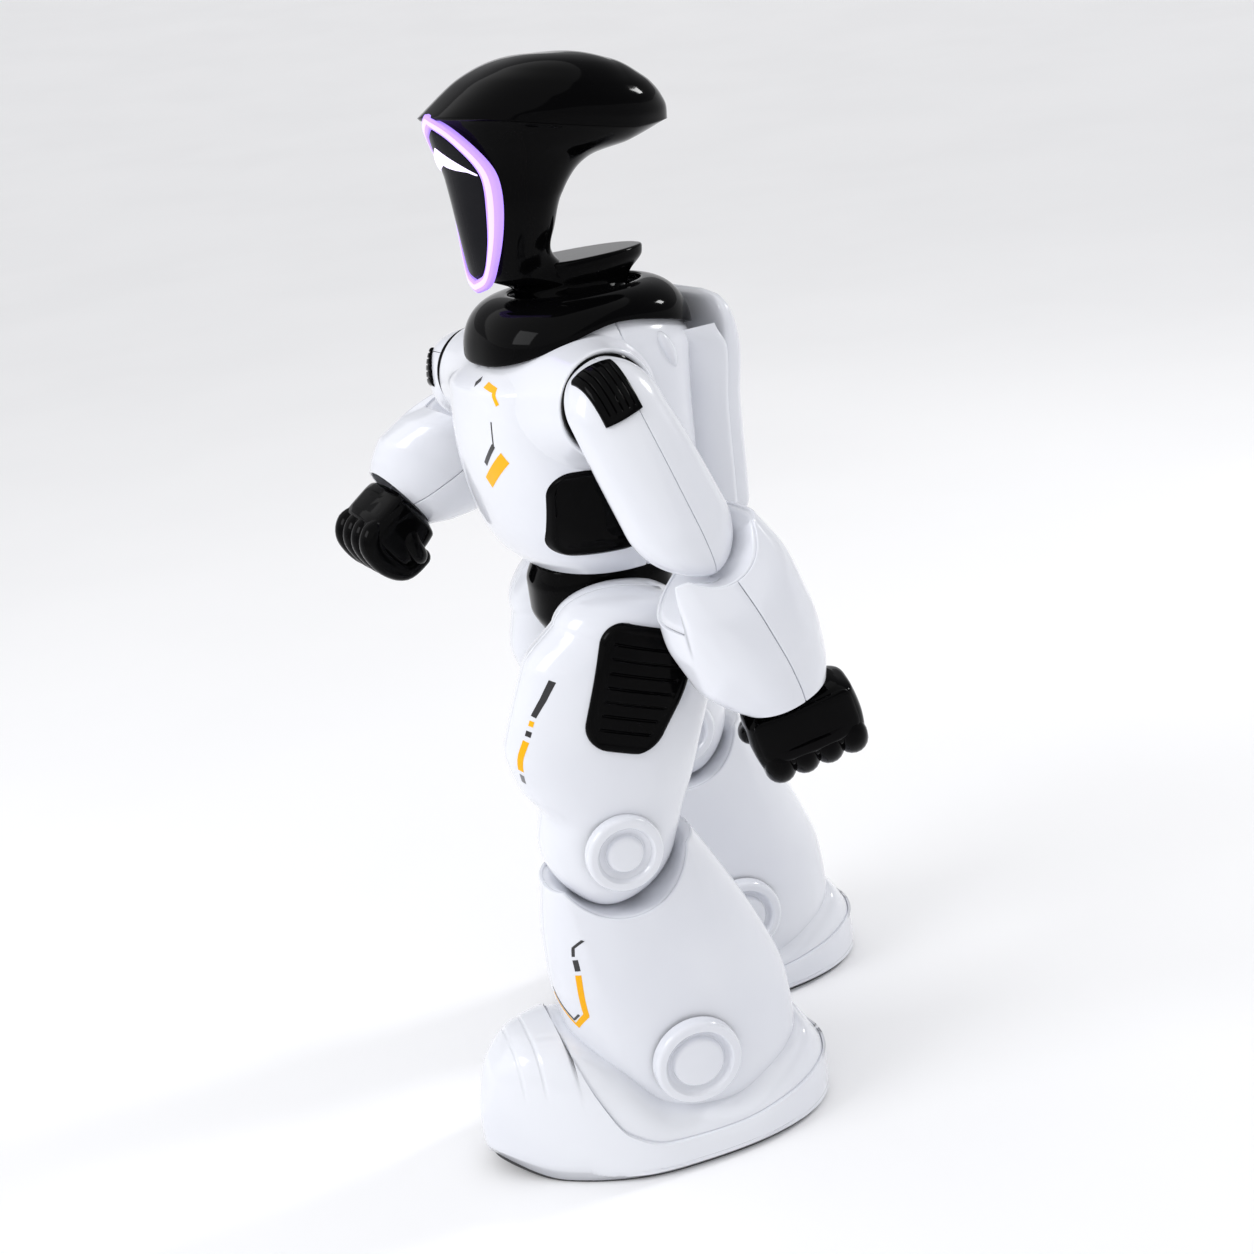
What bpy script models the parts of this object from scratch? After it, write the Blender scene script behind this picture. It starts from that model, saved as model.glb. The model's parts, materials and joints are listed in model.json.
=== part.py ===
"""Walking humanoid toy robot: about 60 named pieces on joint empties, standing in mid-stride.

Frame: +Z up, the feet point along -Y, the robot's left side is +X, the soles rest on z = 0.
Tables and dimensions are in millimetres; MM turns them into metres when a mesh is made.
Every joint axis is along X (limbs) or Z (waist, neck), and each moving group hangs on an empty
that sits on its joint's axis.
"""
import math

import bmesh
import bpy
from mathutils import Matrix, Vector

MM = 0.001
GAP = 0.3             # clearance between pieces that touch
PARTING = 0.15        # half the gap between the two halves of a split casing
WALL = 2.0            # casing wall

# ---- driving dimensions -------------------------------------------------------------------------
MIDDLE = (2.9, 15.1)            # the whole figure is moved by this much, so that z = 0 under its box's middle
                                # is the origin; every other dimension is from the point under the waist's front
HIP = (11.0, 199.0)             # y, z of the hip axle
THIGH = 79.0                    # hip to knee
STRIDE = 19.0                   # each thigh's swing in the standing pose, degrees
SHIN_LEAN = 9.5                 # forward lean of both shins, degrees
ANKLE_Z = 40.0
LEG_X = 43.0                    # middle plane of each leg
WAIST_Y = 8.0                   # the torso turns on the vertical axis through here
TORSO_TWIST = 13.0              # turn of the torso in the standing pose, degrees
SHOULDER = (57.5, -15.5, 278.5)  # in the torso's frame
ARM_SPLAY = 24.0                # outward lean of the arms, degrees
UPPER_ARM = 36.0                # shoulder to elbow, measured straight down
FOREARM = 60.5                  # elbow to wrist, measured straight down
SWING = {"left": 9.5, "right": 56.0}       # backward swing of the upper arms
BEND = {"left": -6.0, "right": 111.0}      # elbow bend
WRIST_TURN = {"left": 0.0, "right": 90.0}  # turn of the fists from palms facing in

KNEE_R = 25.0         # rounded lower end of the thigh, about the knee axis
ELBOW_R = 17.5        # rounded lower end of the upper arm, about the elbow axis
PIN_R = 3.0
PIN_HOLE_R = 3.35

WHITE, BLACK, DARK = (0.86, 0.87, 0.9), (0.008, 0.008, 0.009), (0.05, 0.05, 0.055)
LILAC, STEEL, GREEN, GREY = (0.75, 0.55, 1.0), (0.6, 0.6, 0.62), (0.03, 0.2, 0.08), (0.3, 0.3, 0.32)


# ---- scene helpers ------------------------------------------------------------------------------
def clear_scene():
    for item in list(bpy.data.objects):
        bpy.data.objects.remove(item, do_unlink=True)


def finish(name, colour, roughness, metallic=0.0):
    material = bpy.data.materials.new(name)
    material.use_nodes = True
    shader = material.node_tree.nodes["Principled BSDF"]
    shader.inputs["Base Color"].default_value = (*colour, 1.0)
    shader.inputs["Roughness"].default_value = roughness
    shader.inputs["Metallic"].default_value = metallic
    return material


LOOKS = {
    "white": (WHITE, 0.18, 0.0),
    "black": (BLACK, 0.06, 0.0),
    "dark": (DARK, 0.45, 0.0),
    "light": (LILAC, 0.3, 0.0),
    "steel": (STEEL, 0.3, 1.0),
    "board": (GREEN, 0.5, 0.0),
    "grey": (GREY, 0.4, 0.0),
}


def empty(name, place, parent=None, turn=None):
    """A joint frame: place is in mm in the parent's frame, turn is (axis, degrees)."""
    frame = bpy.data.objects.new(name, None)
    bpy.context.collection.objects.link(frame)
    frame.parent = parent
    frame.location = Vector(place) * MM
    if turn:
        frame.rotation_euler = Matrix.Rotation(math.radians(turn[1]), 3, turn[0]).to_euler()
    return frame


def add_piece(name, shape, look, parent, side="left", place=(0, 0, 0)):
    """One closed body from (points in mm, faces); merged, made to face out and shaded smooth.

    Limb pieces are drawn for the left side, and mirrored in X for the right.
    """
    points, faces = shape
    flip = -1 if side == "right" else 1
    work = bmesh.new()
    corners = [work.verts.new(Vector((flip * x, y, z)) * MM) for x, y, z in points]
    for face in faces:
        loop = [corners[i] for i in face]
        if len(set(loop)) > 2:
            work.faces.new(loop)
    bmesh.ops.remove_doubles(work, verts=work.verts, dist=1e-6)
    bmesh.ops.dissolve_degenerate(work, edges=work.edges, dist=1e-6)
    bmesh.ops.recalc_face_normals(work, faces=work.faces)
    mesh = bpy.data.meshes.new(name)
    work.to_mesh(mesh)
    work.free()
    mesh.shade_smooth()
    mesh.set_sharp_from_angle(angle=math.radians(40))
    body = bpy.data.objects.new(name, mesh)
    bpy.context.collection.objects.link(body)
    body.data.materials.append(finish(name, *LOOKS[look]))
    body.parent = parent
    body.location = Vector((flip * place[0], place[1], place[2])) * MM
    return body


def combine(body, tool, operation):
    """Cuts a hidden tool from a piece, or joins it on."""
    tool.hide_render = True
    tool.display_type = "WIRE"
    step = body.modifiers.new(operation.title(), "BOOLEAN")
    step.operation = operation
    step.solver = "EXACT"
    step.object = tool


# ---- shape helpers ------------------------------------------------------------------------------
def blend(x, xs, ys):
    """Smooth monotone interpolation through (xs, ys); xs rise."""
    if x <= xs[0]:
        return ys[0]
    if x >= xs[-1]:
        return ys[-1]
    i = max(k for k in range(len(xs) - 1) if xs[k] <= x)

    def secant(k):
        return (ys[k + 1] - ys[k]) / (xs[k + 1] - xs[k])

    def slope(k):
        if k in (0, len(xs) - 1):
            return secant(0 if k == 0 else k - 1)
        before, after = secant(k - 1), secant(k)
        return 0.0 if before * after <= 0 else 2 * before * after / (before + after)

    h = xs[i + 1] - xs[i]
    t = (x - xs[i]) / h
    a, b = slope(i) * h, slope(i + 1) * h
    return (ys[i] * (1 + 2 * t) * (1 - t) ** 2 + a * t * (1 - t) ** 2
            + ys[i + 1] * t * t * (3 - 2 * t) - b * t * t * (1 - t))


class Form:
    """A tapering casing. Each row is height, half widths (+x, -x, front, back) and squareness.

    end_low and end_high close an end with a round cap: (height of its centre, its radius).
    """

    def __init__(self, rows, end_low=None, end_high=None):
        rows = sorted(rows)
        self.heights = [row[0] for row in rows]
        self.columns = [[row[k] for row in rows] for k in range(1, 6)]
        self.end_low, self.end_high = end_low, end_high

    def widths(self, z, inset=0.0):
        """Half widths at height z, and how far a round end has closed (1 is open, 0 is the pole)."""
        close = 1.0
        for end, sign in ((self.end_low, -1), (self.end_high, 1)):
            if end and (z - end[0]) * sign > 0:
                reach = min(1.0, abs(z - end[0]) / (end[1] - inset))
                close = math.sqrt(max(0.0, 1 - reach * reach))
        plus, minus, front, back, power = (blend(z, self.heights, c) for c in self.columns)
        narrow = close ** 0.36 if close > 1e-6 else 0.0
        return ((plus - inset) * narrow, (minus - inset) * narrow,
                (front - inset) * close, (back - inset) * close, power)

    def levels(self, middle, cap, inset=0.0):
        low, high = self.heights[0], self.heights[-1]
        found = []
        if self.end_low:
            low = self.end_low[0]
            radius = self.end_low[1] - inset
            found += [low - radius * math.cos(math.pi / 2 * k / cap) for k in range(cap)]
        if self.end_high:
            high = self.end_high[0]
        found += [low + (high - low) * k / middle for k in range(middle + 1)]
        if self.end_high:
            radius = self.end_high[1] - inset
            found += [high + radius * math.sin(math.pi / 2 * k / cap) for k in range(1, cap + 1)]
        return found

    def point(self, z, angle, inset=0.0):
        """angle 0 is +x, 90 the back, 180 -x, 270 the front."""
        plus, minus, front, back, power = self.widths(z, inset)
        c, s = math.cos(angle), math.sin(angle)
        x = (plus if c >= 0 else -minus) * abs(c) ** (2 / power)
        y = (back if s >= 0 else -front) * abs(s) ** (2 / power)
        return x, y, z

    def side(self, y, z, sign=1, inset=0.0):
        """x of the surface on the +x or -x side at (y, z)."""
        plus, minus, front, back, power = self.widths(z, inset)
        reach = min(0.999, abs(y) / max(back if y >= 0 else front, 1e-6))
        return sign * (plus if sign > 0 else minus) * (1 - reach ** power) ** (1 / power)


def sheet_faces(rows, columns, start=0, closed=False):
    faces = []
    for r in range(rows - 1):
        for c in range(columns if closed else columns - 1):
            n = (c + 1) % columns
            a, b = start + r * columns, start + (r + 1) * columns
            faces.append((a + c, a + n, b + n, b + c))
    return faces


def thick_sheet(outer, inner):
    """Closed body between two grids (lists of rows) of the same size."""
    rows, columns = len(outer), len(outer[0])
    points = [p for row in outer for p in row] + [p for row in inner for p in row]
    far = rows * columns
    faces = sheet_faces(rows, columns) + sheet_faces(rows, columns, far)
    for r in range(rows - 1):
        for c in (0, columns - 1):
            a, b = r * columns + c, (r + 1) * columns + c
            faces.append((a, b, b + far, a + far))
    for c in range(columns - 1):
        for r in (0, rows - 1):
            a, b = r * columns + c, r * columns + c + 1
            faces.append((a, b, b + far, a + far))
    return points, faces


def thick_tube(outer, inner, closed_end=False):
    """Closed body between two grids whose rows are closed rings; closed_end if the last row is a pole."""
    rows, columns = len(outer), len(outer[0])
    points = [p for row in outer for p in row] + [p for row in inner for p in row]
    far = rows * columns
    faces = sheet_faces(rows, columns, 0, True) + sheet_faces(rows, columns, far, True)
    for c in range(columns):
        n = (c + 1) % columns
        for r in (0,) if closed_end else (0, rows - 1):
            a, b = r * columns + c, r * columns + n
            faces.append((a, b, b + far, a + far))
    return points, faces


def half_casing(form, start, around, middle, cap, edge, warp=None):
    """Half of a form, from angle start to start + 180 degrees, with flat parting faces.

    edge(z) is how far the parting face stands off the middle plane.
    """
    middle_way = start + math.pi / 2
    split_axis = 0 if abs(math.cos(middle_way)) > 0.5 else 1
    sign = 1 if (math.cos(middle_way), math.sin(middle_way))[split_axis] > 0 else -1
    grids = []
    for inset in (0.0, WALL):
        grid = []
        for z in form.levels(middle, cap, inset):
            row = []
            for k in range(around + 1):
                p = list(form.point(z, start + math.pi * k / around, inset))
                p[split_axis] = sign * max(edge(z), p[split_axis] * sign)
                row.append(warp(p) if warp else tuple(p))
            grid.append(row)
        grids.append(grid)
    return thick_sheet(*grids)


def turned(profile, steps, axis="X"):
    """A turned piece from (distance along the axis, radius) pairs; it starts and ends on the axis."""
    points, faces, rings = [], [], []
    for along, radius in profile:
        if radius < 1e-6:
            rings.append([len(points)] * steps)
            points.append((along, 0.0, 0.0))
            continue
        rings.append(list(range(len(points), len(points) + steps)))
        for k in range(steps):
            a = 2 * math.pi * k / steps
            points.append((along, radius * math.cos(a), radius * math.sin(a)))
    for first, second in zip(rings, rings[1:]):
        for k in range(steps):
            n = (k + 1) % steps
            loop = [first[k], first[n], second[n], second[k]]
            unique = [v for i, v in enumerate(loop) if v not in loop[:i]]
            if len(unique) > 2:
                faces.append(tuple(unique))
    if axis == "Z":
        points = [(y, z, x) for x, y, z in points]
    if axis == "Y":
        points = [(z, x, y) for x, y, z in points]
    return points, faces


def prism(outline, low, high, axis="X"):
    """An outline extruded along an axis; the outline is in the other two coordinates."""
    place = {"X": lambda a, b, d: (d, a, b), "Y": lambda a, b, d: (a, d, b), "Z": lambda a, b, d: (a, b, d)}[axis]
    count = len(outline)
    points = [place(a, b, low) for a, b in outline] + [place(a, b, high) for a, b in outline]
    faces = [tuple(range(count)), tuple(range(2 * count - 1, count - 1, -1))]
    faces += [(k, (k + 1) % count, (k + 1) % count + count, k + count) for k in range(count)]
    return points, faces


def rounded(width, height, radius, steps=3, centre=(0, 0)):
    """Rounded rectangle outline."""
    points = []
    for quarter, (sx, sy) in enumerate(((1, 1), (-1, 1), (-1, -1), (1, -1))):
        cx, cy = sx * (width / 2 - radius), sy * (height / 2 - radius)
        for k in range(steps + 1):
            a = math.pi / 2 * (quarter + k / steps)
            points.append((centre[0] + cx + radius * math.cos(a), centre[1] + cy + radius * math.sin(a)))
    return points


def box(size, centre, bevel=1.0):
    """Box with rounded vertical edges."""
    points, faces = prism(rounded(size[0], size[1], bevel, 2, centre[:2]),
                          centre[2] - size[2] / 2, centre[2] + size[2] / 2, "Z")
    return points, faces


def rod(radius, low, high, axis="X", steps=14):
    return turned([(low, 0), (low, radius), (high, radius), (high, 0)], steps, axis)


def drill(bodies, name, parent, side, radius, low, high, place=(0, 0, 0), axis="X"):
    """A round hole through the pieces."""
    tool = add_piece(name, rod(radius, low, high, axis), "grey", parent, side, place)
    for body in bodies:
        combine(body, tool, "DIFFERENCE")


def capped_disc(face, rim, button, height, seat, pin=0.0):
    """Joint cap: a domed ring with a round button in a dished centre, and a pin behind it."""
    profile = [(-pin, 0), (-pin, PIN_R), (0, PIN_R)] if pin else [(0, 0)]
    profile += [(0, seat), (height * 0.45, rim), (height, rim - 2.6), (height, rim - 4.2),
                (height - 2.2, button + 1.2), (height - 2.2, button), (height - 0.4, button - 0.8),
                (height - 0.1, 0)]
    return turned([(along * face, radius) for along, radius in profile], 16)


# ---- the forms of the limbs and the body --------------------------------------------------------
# height, half width out, half width in, front, back, squareness
THIGH_FORM = Form([
    (-79, 20.0, 18.5, 25.0, 25.0, 2.3),
    (-75, 20.1, 18.5, 25.4, 25.0, 2.3),
    (-66, 20.2, 18.6, 35.0, 25.0, 2.3),
    (-50, 21.0, 19.0, 43.0, 26.0, 2.3),
    (-22, 21.0, 19.0, 42.0, 26.0, 2.3),
    (-6, 20.5, 19.0, 34.0, 21.0, 2.3),
], end_low=(-79, KNEE_R), end_high=(-6, 18.0))

SHIN_FORM = Form([
    (-112, 27.0, 26.0, 28.0, 38.0, 2.6),
    (-100, 29.0, 27.5, 33.0, 45.0, 2.6),
    (-80, 28.5, 27.0, 38.0, 47.0, 2.5),
    (-60, 27.0, 26.0, 38.0, 43.5, 2.4),
    (-38, 24.5, 23.5, 35.0, 37.0, 2.4),
    (-15, 22.0, 21.0, 28.5, 29.0, 2.4),
])

UPPER_ARM_FORM = Form([
    (-36, 14.5, 14.0, 17.5, 17.5, 2.2),
    (-18, 14.0, 13.5, 16.8, 16.8, 2.2),
    (0, 13.0, 10.5, 16.0, 16.0, 2.2),
], end_low=(-36, ELBOW_R), end_high=(0, 15.5))

FOREARM_FORM = Form([
    (-60.5, 14.5, 14.5, 15.5, 15.5, 2.2),
    (-53, 17.5, 17.5, 20.0, 20.5, 2.2),
    (-40, 20.0, 19.0, 24.0, 24.5, 2.2),
    (-26, 20.0, 19.0, 24.0, 25.0, 2.2),
    (-12, 17.5, 17.5, 21.0, 22.0, 2.2),
])

TORSO_FORM = Form([
    (215, 34.0, 34.0, 27.0, 26.0, 2.4),
    (222, 38.0, 38.0, 33.5, 30.0, 2.5),
    (235, 41.5, 41.5, 39.5, 33.0, 2.5),
    (252, 42.5, 42.5, 43.0, 34.5, 2.5),
    (264, 40.3, 40.3, 44.0, 35.5, 2.6),
    (282, 40.0, 40.0, 43.0, 37.0, 2.6),
    (289.5, 39.0, 39.0, 34.5, 39.5, 2.4),
    (296, 37.0, 37.0, 30.0, 36.5, 2.3),
    (301, 33.5, 33.5, 25.0, 30.0, 2.2),
])


def plain_edge(z):
    return PARTING


def tongue_slot(z):
    """The inner thigh casing is open beside the parting plane under the knee, for the shin's tongue."""
    return 7.2 if z < -THIGH - 2 else PARTING


def knee_cup(point):
    """The shin's top rim follows the thigh's round end."""
    x, y, z = point
    clear = KNEE_R + 0.8
    rim = -max(math.sqrt(max(0.0, clear * clear - y * y)), 10.0)
    low, nominal = SHIN_FORM.heights[0], SHIN_FORM.heights[-1]
    share = (z - low) / (nominal - low)
    return x, y, low + (rim - low) * share


def elbow_cup(point):
    """The forearm's rim follows the upper arm's round end, and is cut away in front for the bend."""
    x, y, z = point
    clear = ELBOW_R + 0.8
    rim = -max(math.sqrt(max(0.0, clear * clear - y * y)), 7.0)
    if y < 0:
        fold = math.radians(180 - max(BEND.values()) - 1)  # angle between the two limbs at full bend
        cheek = min(1.0, max(0.0, (x - 14.5) / 2.0))       # only the outer cheek stays up in front
        rim = rim * cheek - (clear - y * math.cos(fold)) / math.sin(fold) * (1 - cheek)
    low, nominal = FOREARM_FORM.heights[0], FOREARM_FORM.heights[-1]
    share = (z - low) / (nominal - low)
    return x, y, low + (rim - low) * share


def surface_patch(form, y_span, z_span, lift, thick, corner, rows, columns, sign=1):
    """A pad that follows a form's side: a rounded rectangle in (y, z)."""
    outer, inner = [], []
    y_middle, y_half = (y_span[0] + y_span[1]) / 2, (y_span[1] - y_span[0]) / 2
    z_middle, z_half = (z_span[0] + z_span[1]) / 2, (z_span[1] - z_span[0]) / 2
    for r in range(rows + 1):
        v = math.sin(math.pi / 2 * (-1 + 2 * r / rows))
        end = max(0.0, abs(v) * z_half - (z_half - corner))
        pull = corner - math.sqrt(max(0.0, corner * corner - end * end))
        z = z_middle + v * z_half
        out_row, in_row = [], []
        for c in range(columns + 1):
            y = y_middle + (-1 + 2 * c / columns) * (y_half - pull)
            base = form.side(y, z, sign)
            out_row.append((base + sign * (lift + thick), y, z))
            in_row.append((base + sign * lift, y, z))
        outer.append(out_row)
        inner.append(in_row)
    return thick_sheet(outer, inner)


# ---- legs ---------------------------------------------------------------------------------------
SHIN = (HIP[1] - THIGH * math.cos(math.radians(STRIDE)) - ANKLE_Z) / math.cos(math.radians(SHIN_LEAN))
OUTER_HALF, INNER_HALF = -math.pi / 2, math.pi / 2      # start angles of the outer and inner halves
FRONT_HALF, REAR_HALF = math.pi, 0.0
FOOT_FRONT, FOOT_BACK, FOOT_HALF = 77.0, 57.0, 36.5     # from the ankle, and half the width
FOOT_X = 2.0                                            # the foot sits a little further out than the leg
TOE_IN = 14.0                                           # how far the foot's outer side turns in at the toe
SOLE_TOP = 4.0


def foot_plan(share, inset=0.0):
    """A point of the foot's outline in plan; share runs round from the outer side by the heel."""
    c, t = math.cos(2 * math.pi * share), math.sin(2 * math.pi * share)
    reach = 2 / (2.6 if t > 0 else 2.05)
    middle, half_length = (FOOT_BACK - FOOT_FRONT) / 2, (FOOT_FRONT + FOOT_BACK) / 2 - inset
    y = middle + half_length * math.copysign(abs(t) ** reach, t)
    toe_in = TOE_IN * max(0.0, -t) ** 2 if c > 0 else 0.0
    x = FOOT_X + (FOOT_HALF - inset - toe_in) * math.copysign(abs(c) ** reach, c)
    return x, y


def foot_top(y):
    """Height of the foot's ridge at distance y behind the ankle."""
    return blend(y, (-77, -70, -58, -44, -30, -12, 12, 32, 46, 57), (16, 34, 45, 47, 42, 26, 22, 30, 34, 20))


def foot_shell():
    """The foot's upper: one arched section after another from the toe to the heel, open below."""
    stations, around = 13, 10
    grids = []
    for inset in (0.0, WALL):
        grid = []
        for r in range(stations + 1):
            share = 0.75 + 0.5 * (0.004 + 0.992 * r / stations)
            outer_x, y = foot_plan(share, inset)
            inner_x = foot_plan(1.5 - share, inset)[0]
            low = SOLE_TOP + GAP - ANKLE_Z
            rise = max(0.5, foot_top(y) - SOLE_TOP - GAP - inset)
            row = []
            for c in range(around + 1):
                a = math.pi * c / around
                reach = math.copysign(abs(math.cos(a)) ** 0.55, math.cos(a))
                middle, half = (outer_x + inner_x) / 2, (outer_x - inner_x) / 2
                row.append((middle + half * reach, y, low + rise * math.sin(a) ** 0.62))
            grid.append(row)
        grids.append(grid)
    return thick_sheet(*grids)


def shin_envelope(clearance, low, high):
    """Closed solid a little larger than the shin's outside, to cut the foot's opening."""
    rows, around = 5, 20
    grid = []
    for r in range(rows + 1):
        z = low + (high - low) * r / rows
        row = [SHIN_FORM.point(z, 2 * math.pi * k / around, -clearance) for k in range(around)]
        grid.append(row)
    points = [p for row in grid for p in row]
    faces = sheet_faces(rows + 1, around, 0, True)
    faces += [tuple(range(around)), tuple(range(len(points) - 1, len(points) - around - 1, -1))]
    return points, faces


def knee_tongue():
    """Side view of the shin's inner frame: an eye round the knee pin, a web, and a foot to screw down."""
    points = []
    for k in range(9):
        a = math.pi * k / 8
        points.append((8.0 * math.cos(a), 8.0 * math.sin(a)))
    points += [(-8.0, -30), (-16, -60), (-16, -SHIN - 12), (18, -SHIN - 12), (18, -60), (8.0, -30)]
    return prism(points, -6.4, -0.6, "X")


def build_leg(side, pelvis):
    sign = 1 if side == "left" else -1
    swing = -STRIDE * sign       # a positive turn about +X swings the lower end back
    hip = empty(side + "_hip", (sign * LEG_X, HIP[0], HIP[1]), pelvis, ("X", swing))
    knee = empty(side + "_knee", (0, 0, -THIGH), hip, ("X", SHIN_LEAN - swing))
    ankle = empty(side + "_ankle", (0, 0, -SHIN), knee, ("X", -SHIN_LEAN))

    def add(name, shape, look, parent, place=(0, 0, 0)):
        return add_piece(side + "_" + name, shape, look, parent, side, place)

    outer = add("thigh_outer_shell", half_casing(THIGH_FORM, OUTER_HALF, 8, 4, 3, plain_edge), "white", hip)
    inner = add("thigh_inner_shell", half_casing(THIGH_FORM, INNER_HALF, 8, 4, 3, tongue_slot), "white", hip)
    drill([outer, inner], side + "_knee_drill", hip, side, PIN_HOLE_R, -40, 40, (0, 0, -THIGH))
    drill([inner], side + "_hip_drill", hip, side, PIN_HOLE_R, -40, -5)
    add("thigh_pad", surface_patch(THIGH_FORM, (-22, 10), (-41, 2), GAP, 2.0, 8, 8, 4), "black", hip)
    add("knee_outer_cap", capped_disc(1, 14, 6.6, 4.5, 14), "white", hip, (20.7, 0, -THIGH))
    add("knee_inner_cap", capped_disc(-1, 14, 6.6, 4.5, 14, pin=38.0), "white", hip, (-19.1, 0, -THIGH))

    outer = add("shin_outer_shell", half_casing(SHIN_FORM, OUTER_HALF, 10, 5, 0, plain_edge, knee_cup), "white", knee)
    inner = add("shin_inner_shell", half_casing(SHIN_FORM, INNER_HALF, 10, 5, 0, plain_edge, knee_cup), "white", knee)
    drill([outer, inner], side + "_ankle_drill", knee, side, PIN_HOLE_R, -40, 40, (0, 0, -SHIN))
    frame = add("shin_frame", knee_tongue(), "grey", knee)
    drill([frame], side + "_frame_drill", knee, side, PIN_HOLE_R, -40, 40)
    drill([frame], side + "_frame_drill_low", knee, side, PIN_HOLE_R, -40, 40, (0, 0, -SHIN))
    add("ankle_outer_cap", capped_disc(1, 17, 9.5, 5.0, 17), "white", knee, (28.9, 0, -SHIN))
    add("ankle_inner_cap", capped_disc(-1, 16, 9.0, 4.5, 16, pin=56.0), "white", knee, (-27.6, 0, -SHIN))

    upper = add("foot_upper_shell", foot_shell(), "white", ankle)
    envelope = add("foot_opening_tool", shin_envelope(0.6, -113, -20), "grey", knee)
    combine(upper, envelope, "DIFFERENCE")
    sole = add("foot_sole", prism([foot_plan(k / 30, 0.4) for k in range(30)], -ANKLE_Z, SOLE_TOP - ANKLE_Z, "Z"), "dark", ankle)
    slot = add("wheel_slot_tool", box((40, 16, 12), (FOOT_X, 18, -ANKLE_Z + 4), 1.0), "grey", ankle)
    combine(sole, slot, "DIFFERENCE")
    wheel = [(-17, 0), (-17, 6.6), (-11, 6.6), (-11, 2.0), (11, 2.0), (11, 6.6), (17, 6.6), (17, 0)]
    add("wheel_axle", turned(wheel, 16), "dark", ankle, (FOOT_X, 18, -ANKLE_Z + 6.8))
    return hip


# ---- pelvis -------------------------------------------------------------------------------------
PELVIS_FORM = Form([
    (185, 20.0, 20.0, 22.0, 22.0, 2.3),
    (196, 22.5, 22.5, 27.0, 26.0, 2.4),
    (206, 22.5, 22.5, 27.0, 26.0, 2.5),
    (213.5, 21.0, 21.0, 24.0, 23.0, 2.5),
], end_low=(185, 13.0))


def closed_form(form, levels, around, move=(0, 0)):
    """A solid body through the form's sections at the given heights, closed at both ends."""
    points = []
    for z in levels:
        for k in range(around):
            x, y, z = form.point(z, 2 * math.pi * k / around)
            points.append((x + move[0], y + move[1], z))
    faces = sheet_faces(len(levels), around, 0, True)
    faces += [tuple(range(around)), tuple(range(len(points) - 1, len(points) - around - 1, -1))]
    return points, faces


def hollow_form(form, middle, cap, around, wall, move=(0, 0)):
    """A casing open at its upper end."""
    grids = []
    for inset in (0.0, wall):
        grids.append([])
        for z in form.levels(middle, cap, inset):
            row = [form.point(z, 2 * math.pi * k / around, inset) for k in range(around)]
            grids[-1].append([(x + move[0], y + move[1], z) for x, y, z in row])
    return thick_tube(*grids)


def build_pelvis():
    pelvis = empty("pelvis", (-MIDDLE[0], -MIDDLE[1], 0))
    move = (0, WAIST_Y - 1)
    shell = add_piece("pelvis_shell", hollow_form(PELVIS_FORM, 4, 2, 16, WALL, move), "black", pelvis)
    drill([shell], "hip_bore_tool", pelvis, "left", PIN_HOLE_R, -40, 40, (0, HIP[0], HIP[1]))
    add_piece("hip_axle", rod(PIN_R, -38, 38), "steel", pelvis, "left", (0, HIP[0], HIP[1]))
    motor = box((22, 15, 16), (0, HIP[0] - 12.5, 198), 2.0)
    add_piece("walk_gearmotor", motor, "grey", pelvis)
    return pelvis


# ---- torso --------------------------------------------------------------------------------------
PACK_FORM = Form([
    (217, 22.0, 22.0, 9.0, 4.5, 3.2),
    (226, 27.0, 27.0, 10.5, 6.5, 3.2),
    (262, 28.0, 28.0, 10.5, 6.5, 3.2),
    (282, 31.0, 31.0, 8.0, 7.5, 3.0),
    (290, 30.0, 30.0, 4.0, 7.0, 2.9),
    (302, 18.0, 18.0, 3.0, 2.0, 2.6),
])
PACK_Y = 47.0
SHOULDER_DISC_R = 16.5
COLLAR_MOUTH = (22.0, 24.0, 4.0, 308.5)      # half width, half depth, middle y, height


def collar_low(angle):
    """Height of the collar's lower edge round the torso: low in front and behind, high at the sides."""
    front = max(0.0, -math.sin(angle))
    back = max(0.0, math.sin(angle))
    return 300.5 - 11.0 * front ** 1.7 - 10.5 * back ** 1.7


def collar():
    around, steps = 22, 4
    wide, deep, middle, top = COLLAR_MOUTH
    outer, inner = [], []
    for r in range(steps + 1):
        rise, spread = math.sin(math.pi / 2 * r / steps), math.cos(math.pi / 2 * r / steps)
        out_row, in_row = [], []
        for k in range(around):
            a = 2 * math.pi * k / around
            x, y, low = TORSO_FORM.point(collar_low(a), a, -0.5)
            mouth = (wide * math.cos(a), middle + deep * math.sin(a))
            px, py = mouth[0] + (x - mouth[0]) * spread, mouth[1] + (y - mouth[1]) * spread
            pz = low + 0.6 + (top - low - 0.6) * rise
            away = Vector((x - mouth[0], y - mouth[1], 0)).normalized()
            out = away * (2.0 * spread) + Vector((0, 0, 2.0 * rise))
            in_row.append((px, py, pz))
            out_row.append((px + out.x, py + out.y, pz + out.z))
        outer.append(out_row)
        inner.append(in_row)
    return thick_tube(outer, inner)


def torso_patch(sign):
    """The dark panel let into the torso's side."""
    return surface_patch(TORSO_FORM, (-31, -2), (228, 257), GAP, 1.4, 6, 6, 5, sign)


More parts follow.
